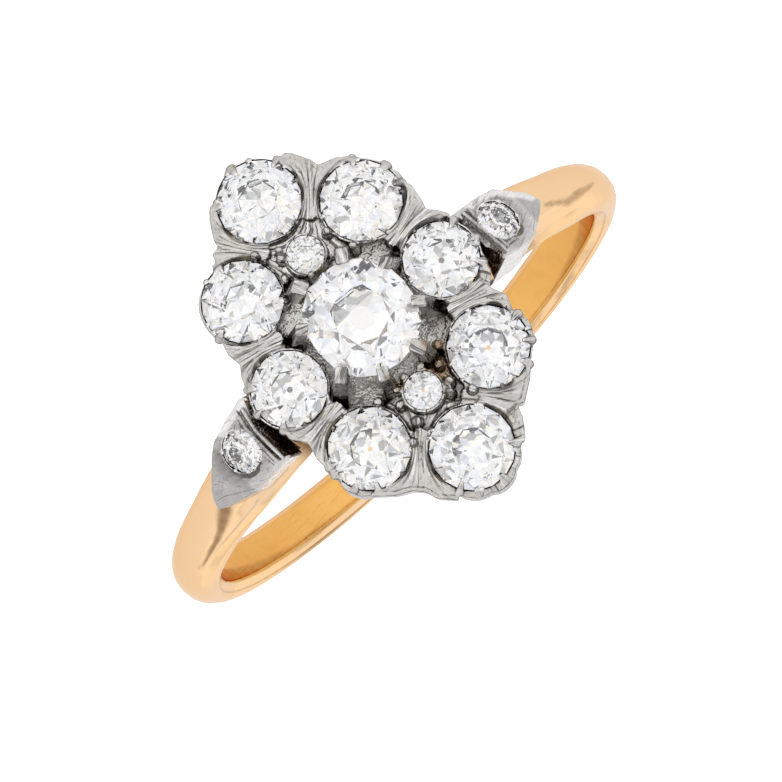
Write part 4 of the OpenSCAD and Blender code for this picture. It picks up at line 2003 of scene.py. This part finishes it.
    def build(self, finish: bpy.types.Material) -> None:
        """Makes the cluster's metal in place of its CAD node.

        Args:
            finish: the material it gets.
        """
        body = self.cast()
        prongs = Bench.join([self.prong(prong) for prong in PRONGS])
        Bench.fuse(prongs, self.prong_voxel, 1, self.prong_budget)
        seats = (*SEATS.values(), *ACCENTS)
        tool = Bench.join([*(self.seat_tool(seat) for seat in seats), self.centre_tool()])
        Bench.cut(body, Bench.double(tool))
        Bench.cut(prongs, tool)
        Bench.cut(body, self.opening_tool())
        body = Bench.join([body, prongs])
        shapes = [Bench.stone_shape(seat.radius, seat.frame) for seat in seats]
        stretch = Matrix.Diagonal((CENTRE_HALF_W, CENTRE_HALF_L, CENTRE_HALF_W, 1))
        shapes.append(Bench.stone_shape(1.0, Matrix.Translation((0, 0, LAYOUT.centre_z)) @ stretch))
        Shade.crevices(body, Bench.join(shapes), self.painted_shade)
        self.mark_flow(body)
        self.mark_stains(body)
        Bench.smooth(body, 35)
        Bench.place(body, LAYOUT.cluster)
        Bench.hand_over(body, "cluster_metal", Slot.WHITE, finish, ["cluster_setting"])


# Shoulders


@dataclass(frozen=True)
class Facet:
    """A slanting flat on a shoulder plate: a place on its upper edge, its direction and its fall."""

    spot: Pair
    way: float
    fall: float


@dataclass
class ShoulderSetting:
    """A pointed plate on a shoulder, with ridges at the head's side and a rough collar for a round stone.

    It is made in a frame with X down the slope, Y across and Z out of the plate.
    """

    side: int
    outline: Pairs
    stone: Pair
    wall_out: float
    skirt_low: float
    facets: tuple[Facet, ...]
    ridges: tuple[Pairs, ...]
    grooves: tuple[Pairs, ...]
    pocket: Pocket
    end: float
    border: Pairs
    tip: float
    slope: float = 35.0
    top: float = 10.43
    stone_r: float = 0.73
    stone_sink: float = 0.04
    seat_gap: float = 0.015
    band_thickness: float = 1.22
    channel: float = 2.12
    ridge_r: float = 0.08
    ridge_rise: float = 0.04
    groove_r: float = 0.022
    grains: tuple[float, ...] = (20, 62, 100, 147, 190, 226, 268, 318)
    voxel: float = 0.032
    face_budget: int = 70000

    @property
    def middle(self) -> Vector:
        """Middle of the stone's girdle on the plate."""
        return Vector((*self.stone, self.top - self.stone_sink))

    @staticmethod
    def gap_to(place: Vector, lines: Sequence[Sequence[Pair]]) -> float:
        """Returns how far a place is from the nearest of some lines, seen from above."""
        return min(gap for spots in lines for _, _, gap in along_line(place.xy, spots))

    def track(self, spots: Sequence[Pair], size: float, rise: float = 0.0) -> list[bpy.types.Object]:
        """Lays pins along a line on the plate.

        Args:
            spots: the line's points.
            size: radius of the pins.
            rise: height of the line over the plate.

        Returns:
            The pins.
        """
        places = [Vector((x, y, self.top + rise)) for x, y in spots]
        return [Bench.pin(start, end, size, size * 0.98) for start, end in zip(places, places[1:])]

    def blank(self) -> bpy.types.Object:
        """Makes the plate's block, with its far wall splayed and its bottom cut to sit on the band.

        Returns:
            The block.
        """
        plate = Bench.slab(self.outline, LAYOUT.finger_r, self.top)
        with Bench.edit(plate):
            Bench.pick(plate, lambda place: place.z < self.top - 0.1 and place.y > 0)
            bpy.ops.transform.translate(value=(0, self.wall_out, 0))
        Bench.cut(plate, Bench.drum(LAYOUT.finger_r + self.skirt_low, 5, 192))
        Bench.cut(plate, Bench.drum(LAYOUT.finger_r + self.band_thickness, self.channel, 192))
        for facet in self.facets:
            block = Bench.slab([(0, -3), (4, -3), (4, 3), (0, 3)], 0, 3)
            way = Matrix.Rotation(math.radians(facet.way), 4, "Z")
            fall = Matrix.Rotation(math.radians(facet.fall), 4, "Y")
            Bench.place(block, Matrix.Translation((*facet.spot, self.top + 0.01)) @ way @ fall)
            Bench.cut(plate, block)
        return plate

    def shape(self) -> bpy.types.Object:
        """Makes the plate with all that is raised on it.

        Returns:
            The plate.
        """
        collar = Bench.start(
            bpy.ops.mesh.primitive_cone_add, vertices=8, radius1=self.stone_r + 0.34,
            radius2=self.stone_r + 0.09, depth=0.24, rotation=(0, 0, math.pi / 8)
        )
        Bench.place(collar, Matrix.Translation((*self.stone, self.top - 0.09)))
        pieces = [self.blank(), collar]
        for spots in self.ridges:
            pieces += self.track(spots, self.ridge_r, self.ridge_rise)
        pieces += [self.grain(turn, 0.07 + 0.03 * (index % 3)) for index, turn in enumerate(self.grains)]
        body = Bench.join(pieces)
        Bench.fuse(body, self.voxel, 1, self.face_budget)
        return body

    def seat_tool(self) -> bpy.types.Object:
        """Makes the tool that cuts the stone's seat.

        Returns:
            The tool.
        """
        radius = self.stone_r
        wide = radius + self.seat_gap
        profile = [
            (0, -0.63), (0.15, -0.63), (wide, -0.05), (wide, 0.05),
            (0.78 * radius, 0.05 + 0.2 * radius), (0.6 * radius, 1), (0, 1)
        ]
        obj = Bench.lathe(profile, 64)
        Bench.place(obj, Matrix.Translation(self.middle))
        return obj

    def grain(self, turn: float, size: float) -> bpy.types.Object:
        """Makes a grain of metal pushed over the stone's rim.

        Args:
            turn: where on the rim, in degrees.
            size: its thickness.

        Returns:
            The new object.
        """
        knee = self.middle + polar(turn, self.stone_r + 0.06, 0.02)
        tip = self.middle + polar(turn, self.stone_r - 0.08, 0.13)
        return Bench.pin(knee, tip, size, 0.6 * size, polar(turn + 90, 1), 1.25)

    def painted_shade(self, place: Vector) -> float:
        """Says how much painted shade a place gets: down the end wall, in the crescent beside the stone and
        in the grooves, with none in the stone's seat.

        Args:
            place: the place.

        Returns:
            How dark, where less than 0 is bright.
        """
        # Painted shade down the end wall, deeper further below the top.
        if place.x < self.end and place.z < self.top:
            return 0.9 * Shade.soft(self.top - place.z, 0.08, 0.3)
        away = place.xy - Vector(self.stone)
        gap = away.length - self.stone_r
        # No painted shade in the stone's seat.
        if gap < 0:
            return -1.0
        share = self.pocket.share(away)
        if share > 1 or gap > 0.3:
            # Painted shade in the grooves.
            gap = self.gap_to(place, self.grooves)
            return 0.55 * (1 - Shade.soft(gap, self.groove_r - 0.01, self.groove_r + 0.02))
        # Painted shade in the crescent beside the stone.
        return self.pocket.painted_shade(share, gap, 0.12)

    def mark_flow(self, body: bpy.types.Object) -> None:
        """Writes into the metal where it is darker, over the inner face and at the tip, and how fine
        scratches run over the plate.

        Args:
            body: the plate.
        """
        across, along, cut, stain_and_shade = [], [], [], []
        for vertex in body.data.vertices:
            place = vertex.co
            across.append((place.y + 0.35 * place.x) * 10)
            along.append((place.x - 0.35 * place.y) * 1.6)
            upper = Shade.soft(place.z, self.top - 0.35, self.top - 0.15)
            away = (place.xy - Vector(self.stone)).length - self.stone_r
            near = 1 - Shade.soft(away, 0.1, 0.6)
            cut.append(upper * (0.12 + 0.4 * near))
            # Darker over the inner face than at the border; at the tip the darkening paints the darker tone
            # of the tip's facet, a painted reflection.
            inside = Shade.soft(self.gap_to(place, (self.border,)), 0.2, 0.3)
            tip = Shade.soft(place.x, self.tip, self.tip + 0.15)
            stain_and_shade.append(upper * ((0.38 + 0.22 * near) * inside + 0.2 * tip) if away > 0 else 0.0)
        marks = {Shade.STAIN_AND_SHADE: stain_and_shade}
        Shade.write(body, marks | {Shade.ACROSS: across, Shade.ALONG: along, Shade.CUT: cut})

    def build(self, finish: bpy.types.Material) -> None:
        """Makes one shoulder's plate in place of its CAD node.

        Args:
            finish: the material it gets.
        """
        body = self.shape()
        Bench.cut(body, self.seat_tool())
        grooves = [pin for spots in self.grooves for pin in self.track(spots, self.groove_r)]
        Bench.cut(body, Bench.join(grooves), crossing=True)
        stone = Bench.stone_shape(self.stone_r, Matrix.Translation(self.middle))
        Shade.crevices(body, stone, self.painted_shade, 0.5, 0.1)
        self.mark_flow(body)
        Bench.place(body, Matrix.Rotation(math.radians(self.slope), 4, "Y"))
        if self.side < 0:
            Bench.place(body, Matrix.Diagonal((-1, 1, 1, 1)))
            with Bench.edit(body, everything=True):
                bpy.ops.mesh.normals_make_consistent(inside=False)
        Bench.smooth(body, 35)
        Bench.place(body, LAYOUT.band)
        name = "left" if self.side < 0 else "right"
        Bench.hand_over(body, f"shoulder_plate_{name}", Slot.WHITE, finish, [f"shoulder_setting_{name}"])

    def seat_of(self, spot: Pair) -> Matrix:
        """Move from the origin to a stone at a place on the plate, before the band is moved."""
        tilt = Matrix.Rotation(math.radians(self.side * self.slope), 4, "Y")
        return tilt @ Matrix.Translation((self.side * spot[0], spot[1], self.middle.z))

    @property
    def stone_seat(self) -> Matrix:
        """Move from the origin to the stone's seat."""
        return LAYOUT.band @ self.seat_of(self.stone)


HOME_STONE = (-0.5, 0.0)
SHOULDERS = (
    ShoulderSetting(
        side=-1,
        outline=(
            (-1.75, -1.05), (-1.5, -0.7), (-1.4, 0.0), (-1.3, 1.05), (-0.3, 1.1), (0.25, 1.05), (0.85, 0.7),
            (1.45, 0.3), (1.2, -0.1), (0.55, -0.65), (0.25, -0.95), (-0.55, -1.05)
        ),
        stone=(-0.55, 0.0),
        wall_out=0.16,
        skirt_low=0.3,
        facets=(Facet((0.05, 0.6), 45, 14), Facet((0.7, 0.65), 49, 45)),
        ridges=(
            ((-1.4, -0.85), (-1.3, -0.1), (-1.2, 0.98)), ((-1.12, -0.85), (-1.1, -0.2), (-1.05, 0.85)),
        ),
        grooves=(
            ((-1.28, -0.88), (-1.22, -0.15), (-1.15, 0.9)), ((-1.24, -0.88), (-1.18, -0.15), (-1.11, 0.9)),
            ((-1.0, -0.8), (-1.0, -0.3)), ((-0.98, 0.25), (-0.95, 0.75)),
            ((0.3, 0.3), (0.1, 0.55), (-0.25, 0.9)), ((-0.95, 0.85), (-0.3, 0.9)),
            ((-0.9, 0.72), (-0.45, 0.78)), ((-0.35, 0.68), (-0.4, 1.0)),
            ((0.2, -0.45), (0.45, -0.2)), ((0.9, 0.25), (0.72, 0.6), (0.25, 0.95)),
        ),
        pocket=Pocket(40, 84),
        end=-1.22,
        border=((-0.9, -1.05), (-0.55, -1.05), (0.25, -0.95), (0.55, -0.65), (1.2, -0.1)),
        tip=0.55,
    ),
    ShoulderSetting(
        side=1,
        outline=(
            (-2.1, -1.4), (-1.95, -1.55), (-1.05, -1.45), (-0.15, -1.3), (0.3, -1.05), (1.15, -0.4),
            (1.6, 0.15), (1.15, 0.4), (0.55, 0.6), (-0.05, 0.8), (-1.75, 0.85), (-1.7, -0.45)
        ),
        stone=(-0.7, -0.4),
        wall_out=0.3,
        skirt_low=0.72,
        facets=(Facet((0.6, 0.36), 59, 24),),
        ridges=(
            ((-1.85, -1.2), (-1.65, -0.45), (-1.66, 0.2), (-1.68, 0.8)),
            ((-1.6, -1.3), (-1.45, -0.75), (-1.43, -0.1), (-1.42, 0.7)),
        ),
        grooves=(
            ((-1.77, -1.25), (-1.58, -0.6), (-1.56, 0.1), (-1.57, 0.75)),
            ((-1.73, -1.25), (-1.54, -0.6), (-1.52, 0.1), (-1.53, 0.75)),
            ((-1.42, -1.1), (-1.32, -0.75)), ((-1.3, -0.05), (-1.3, 0.6)),
            ((1.3, 0.0), (0.95, 0.1), (0.5, 0.38), (-0.05, 0.7)),
            ((0.95, -0.42), (0.8, -0.3)), ((0.75, -0.38), (0.62, -0.2)), ((0.55, -0.32), (0.45, -0.15)),
            ((0.38, 0.2), (0.26, 0.32)), ((-1.2, 0.5), (-0.5, 0.55)), ((-1.15, 0.3), (-1.2, 0.7)),
        ),
        pocket=Pocket(-8, 112),
        end=-1.62,
        border=((-1.95, -1.55), (-1.05, -1.45), (-0.7, -1.4)),
        tip=-0.1,
    ),
)


# Stones


@dataclass
class OldCutStone:
    """A stone cut by hand: its CAD shape, turned about its own axis and a little uneven."""

    name: str
    home: Matrix
    turn: float = 0.0
    uneven: float = 0.02
    seed: int = 1
    culet: float = 1.0
    size: float = 0.99
    moved: Matrix | None = None
    merge: float = 0.000002
    flat: float = 0.02
    girdle: float = 0.06

    def build(self, finish: bpy.types.Material) -> None:
        """Makes the stone in place of its CAD node, from its home there to where it is moved.

        Args:
            finish: the material it gets.
        """
        obj = Bench.double(frame["nodes"][self.name])
        Bench.tidy(obj, self.merge)
        Bench.place(obj, (LAYOUT.lying @ self.home).inverted())
        heights = [vertex.co.z for vertex in obj.data.vertices]
        high, low = max(heights) - self.flat, min(heights) + self.flat
        with Bench.edit(obj):
            Bench.pick(obj, lambda place: place.z < low)
            bpy.ops.transform.resize(value=(self.culet, self.culet, 1), center_override=(0, 0, 0))
            Bench.pick(obj, lambda place: abs(place.z) > self.girdle and low < place.z < high)
            bpy.ops.transform.vertex_random(offset=self.uneven, uniform=0.4, seed=self.seed)
        spin = Matrix.Rotation(math.radians(self.turn), 4, "Z") @ Matrix.Scale(self.size, 4)
        Bench.place(obj, (self.moved or self.home) @ spin)
        Bench.hand_over(obj, f"{self.name}_cut", Slot.STONE, finish, [self.name])


def stones() -> list[OldCutStone]:
    """Lists all the stones with their own turns and unevenness.

    Returns:
        The stones.
    """
    twist = LAYOUT.cluster
    found = []
    for index, (name, seat) in enumerate(SEATS.items()):
        culet = 0.5 if seat.y > CORNER_Y - 0.1 else 0.7
        home = twist @ seat.frame
        found.append(OldCutStone(name.value, home, 23.0 * index, uneven=0.022, seed=5 + index, culet=culet))
    for name, seat, turn in zip(("lower", "upper"), ACCENTS, (11, 40)):
        home = twist @ seat.frame
        found.append(OldCutStone(f"accent_diamond_{name}", home, turn, uneven=0.014, seed=31, culet=0.7))
    centre = twist @ Matrix.Translation((0, 0, LAYOUT.centre_z))
    found.append(OldCutStone("centre_diamond", centre, seed=3))
    for name, plate in zip(("left", "right"), SHOULDERS):
        stone = OldCutStone(
            f"shoulder_diamond_{name}", plate.seat_of(HOME_STONE), turn=30.0, uneven=0.014, seed=17,
            culet=0.7, size=1.09, moved=plate.stone_seat
        )
        found.append(stone)
    return found


# Camera, light and floor


@dataclass
class Studio:
    """A pale floor, soft light and a camera at the photograph's angle."""

    distance: float = 260.0
    focal_px: float = 7918.8
    offset: Pair = (0.10, 0.42)
    angles: tuple[float, float, float] = (9.67, -2.66, 223.65)
    sensor: float = 36.0
    clip: Pair = (0.01, 10.0)
    floor_size: float = 3.0
    paper: tuple[Colour, Colour] = ((0.6, 0.6, 0.6, 1), (0.62, 0.62, 0.62, 1))
    floor_glow: Pair = (0.62, 1.5)
    plain: float = 1.08
    cool: Colour = (0.97, 1.01, 1.12, 1.0)
    warm: Colour = (1.14, 1.07, 0.97, 1.0)
    dim: float = 0.5
    warm_range: Pair = (0.4, 0.6)
    dim_range: Pair = (0.5, 0.64)
    hood: float = 0.4
    metal_hood: float = 0.8
    hood_edges: Pair = (9.0, 19.0)
    hood_shift: float = 6.0
    patches: Pair = (1.7, 4.2)
    horizon: Pair = (0.12, 0.4)

    def sight(self) -> Matrix:
        """Finds the turn from the ring's own frame to the camera's axes.

        Returns:
            The turn.
        """
        x, y, z = (math.radians(angle) for angle in self.angles)
        about_x = Matrix.Rotation(x, 3, "X")
        about_y = Matrix.Rotation(y, 3, "Y")
        return Matrix.Rotation(z, 3, "Z") @ about_y @ about_x

    def camera(self) -> bpy.types.Object:
        """Adds the camera.

        Returns:
            The camera.
        """
        back = self.sight().transposed()
        spot = back @ Vector((-self.offset[0], -self.offset[1], self.distance))
        data = bpy.data.cameras.new("camera")
        data.sensor_width = self.sensor
        data.lens = self.focal_px * self.sensor / IMAGE_SIDE
        data.clip_start, data.clip_end = self.clip
        obj = bpy.data.objects.new("camera", data)
        bpy.context.scene.collection.objects.link(obj)
        turn = LAYOUT.lying.to_3x3().normalized() @ back
        obj.matrix_world = Matrix.Translation(LAYOUT.lying @ spot) @ turn.to_4x4()
        bpy.context.scene.camera = obj
        return obj

    def light(self, towards: Vector) -> None:
        """Fills the world with soft white light, and a darker round hood about one direction.

        Args:
            towards: unit direction from the ring to the hood.
        """
        world = bpy.data.worlds.new("studio")
        world.use_nodes = True
        bpy.context.scene.world = world
        graph = Graph(world.node_tree)
        place = graph.add("ShaderNodeTexCoord").outputs["Generated"]
        dot = graph.add("ShaderNodeVectorMath", operation="DOT_PRODUCT")
        dot.inputs[1].default_value = towards
        graph.link(place, dot.inputs[0])
        near, far = (math.cos(math.radians(angle)) for angle in self.hood_edges)
        hooded = graph.ramp(dot.outputs["Value"], far, near)
        noises = []
        for scale in self.patches:
            noise = graph.add("ShaderNodeTexNoise", Scale=scale, Detail=1.0)
            graph.link(place, noise.inputs["Vector"])
            noises.append(noise.outputs["Fac"])
        height = graph.add("ShaderNodeSeparateXYZ")
        graph.link(place, height.inputs["Vector"])
        high = graph.ramp(height.outputs["Z"], *self.horizon)
        tint = graph.mix(graph.ramp(noises[0], *self.warm_range), self.cool, self.warm)
        dimmed = graph.mix(graph.ramp(noises[1], *self.dim_range), tint, (self.dim, self.dim, self.dim, 1))
        plain = (self.plain, self.plain, self.plain, 1)
        sky = graph.mix(high, plain, dimmed)
        rays = graph.add("ShaderNodeLightPath")
        hood = graph.add("ShaderNodeMapRange", To_Min=self.metal_hood, To_Max=self.hood)
        graph.link(rays.outputs["Is Transmission Ray"], hood.inputs["Value"])
        shown = graph.mix(hooded, sky, hood.outputs["Result"])
        background = graph.add("ShaderNodeBackground")
        graph.link(graph.mix(rays.outputs["Is Camera Ray"], shown, plain), background.inputs["Color"])
        graph.close(background, "ShaderNodeOutputWorld")

    def floor(self, effects: Effects) -> None:
        """Adds the floor under the ring.

        Args:
            effects: the shared effects.
        """
        obj = Bench.start(bpy.ops.mesh.primitive_plane_add, size=self.floor_size)
        obj.name = "floor"
        obj.location = (0, 0, cad_low.z)
        material, graph = new_material("floor_paper")
        grain = graph.use(effects.clouds, Scale=400.0, Detail=3.0).outputs["Share"]
        tone = graph.mix(grain, *self.paper)
        shader = graph.add("ShaderNodeBsdfPrincipled", Roughness=0.8)
        graph.link(tone, shader.inputs["Base Color"])
        graph.link(tone, shader.inputs["Emission Color"])
        rays = graph.add("ShaderNodeLightPath")
        glow = graph.add("ShaderNodeMapRange", To_Min=self.floor_glow[0], To_Max=self.floor_glow[1])
        graph.link(rays.outputs["Is Camera Ray"], glow.inputs["Value"])
        graph.link(glow.outputs["Result"], shader.inputs["Emission Strength"])
        graph.close(shader)
        obj.data.materials.append(material)

    def build(self, effects: Effects) -> None:
        """Sets up the camera, the light and the floor.

        Args:
            effects: the shared effects.
        """
        camera = self.camera()
        towards = camera.matrix_world.to_translation().normalized()
        about = LAYOUT.facing.cross(towards).normalized()
        self.light(Matrix.Rotation(math.radians(self.hood_shift), 3, about) @ towards)
        self.floor(effects)
        scene = bpy.context.scene
        scene.view_settings.view_transform = "Standard"
        scene.cycles.max_bounces = 24
        scene.cycles.transmission_bounces = 24
        scene.cycles.glossy_bounces = 8
        scene.cycles.caustics_refractive = True
        scene.cycles.caustics_reflective = True
        scene.cycles.sample_clamp_indirect = 6.0
        scene.cycles.blur_glossy = 0.3


def main() -> None:
    """Builds the ring and its studio."""
    logging.basicConfig(level=logging.INFO, format="%(message)s")
    effects = Effects()
    Studio().build(effects)
    gold, white, plain, stone = (
        finish.build(effects) for finish in (GOLD, CLUSTER_METAL, SHOULDER_METAL, CutStone())
    )
    Shank().build(gold)
    ClusterSetting().build(white)
    for shoulder in SHOULDERS:
        shoulder.build(plain)
    for jewel in stones():
        jewel.build(stone)
    for name, obj in frame["nodes"].items():
        finish = gold if name == "shank" else stone if "diamond" in name else white
        obj.data.materials.clear()
        obj.data.materials.append(finish)


if __name__ == "__main__":
    main()
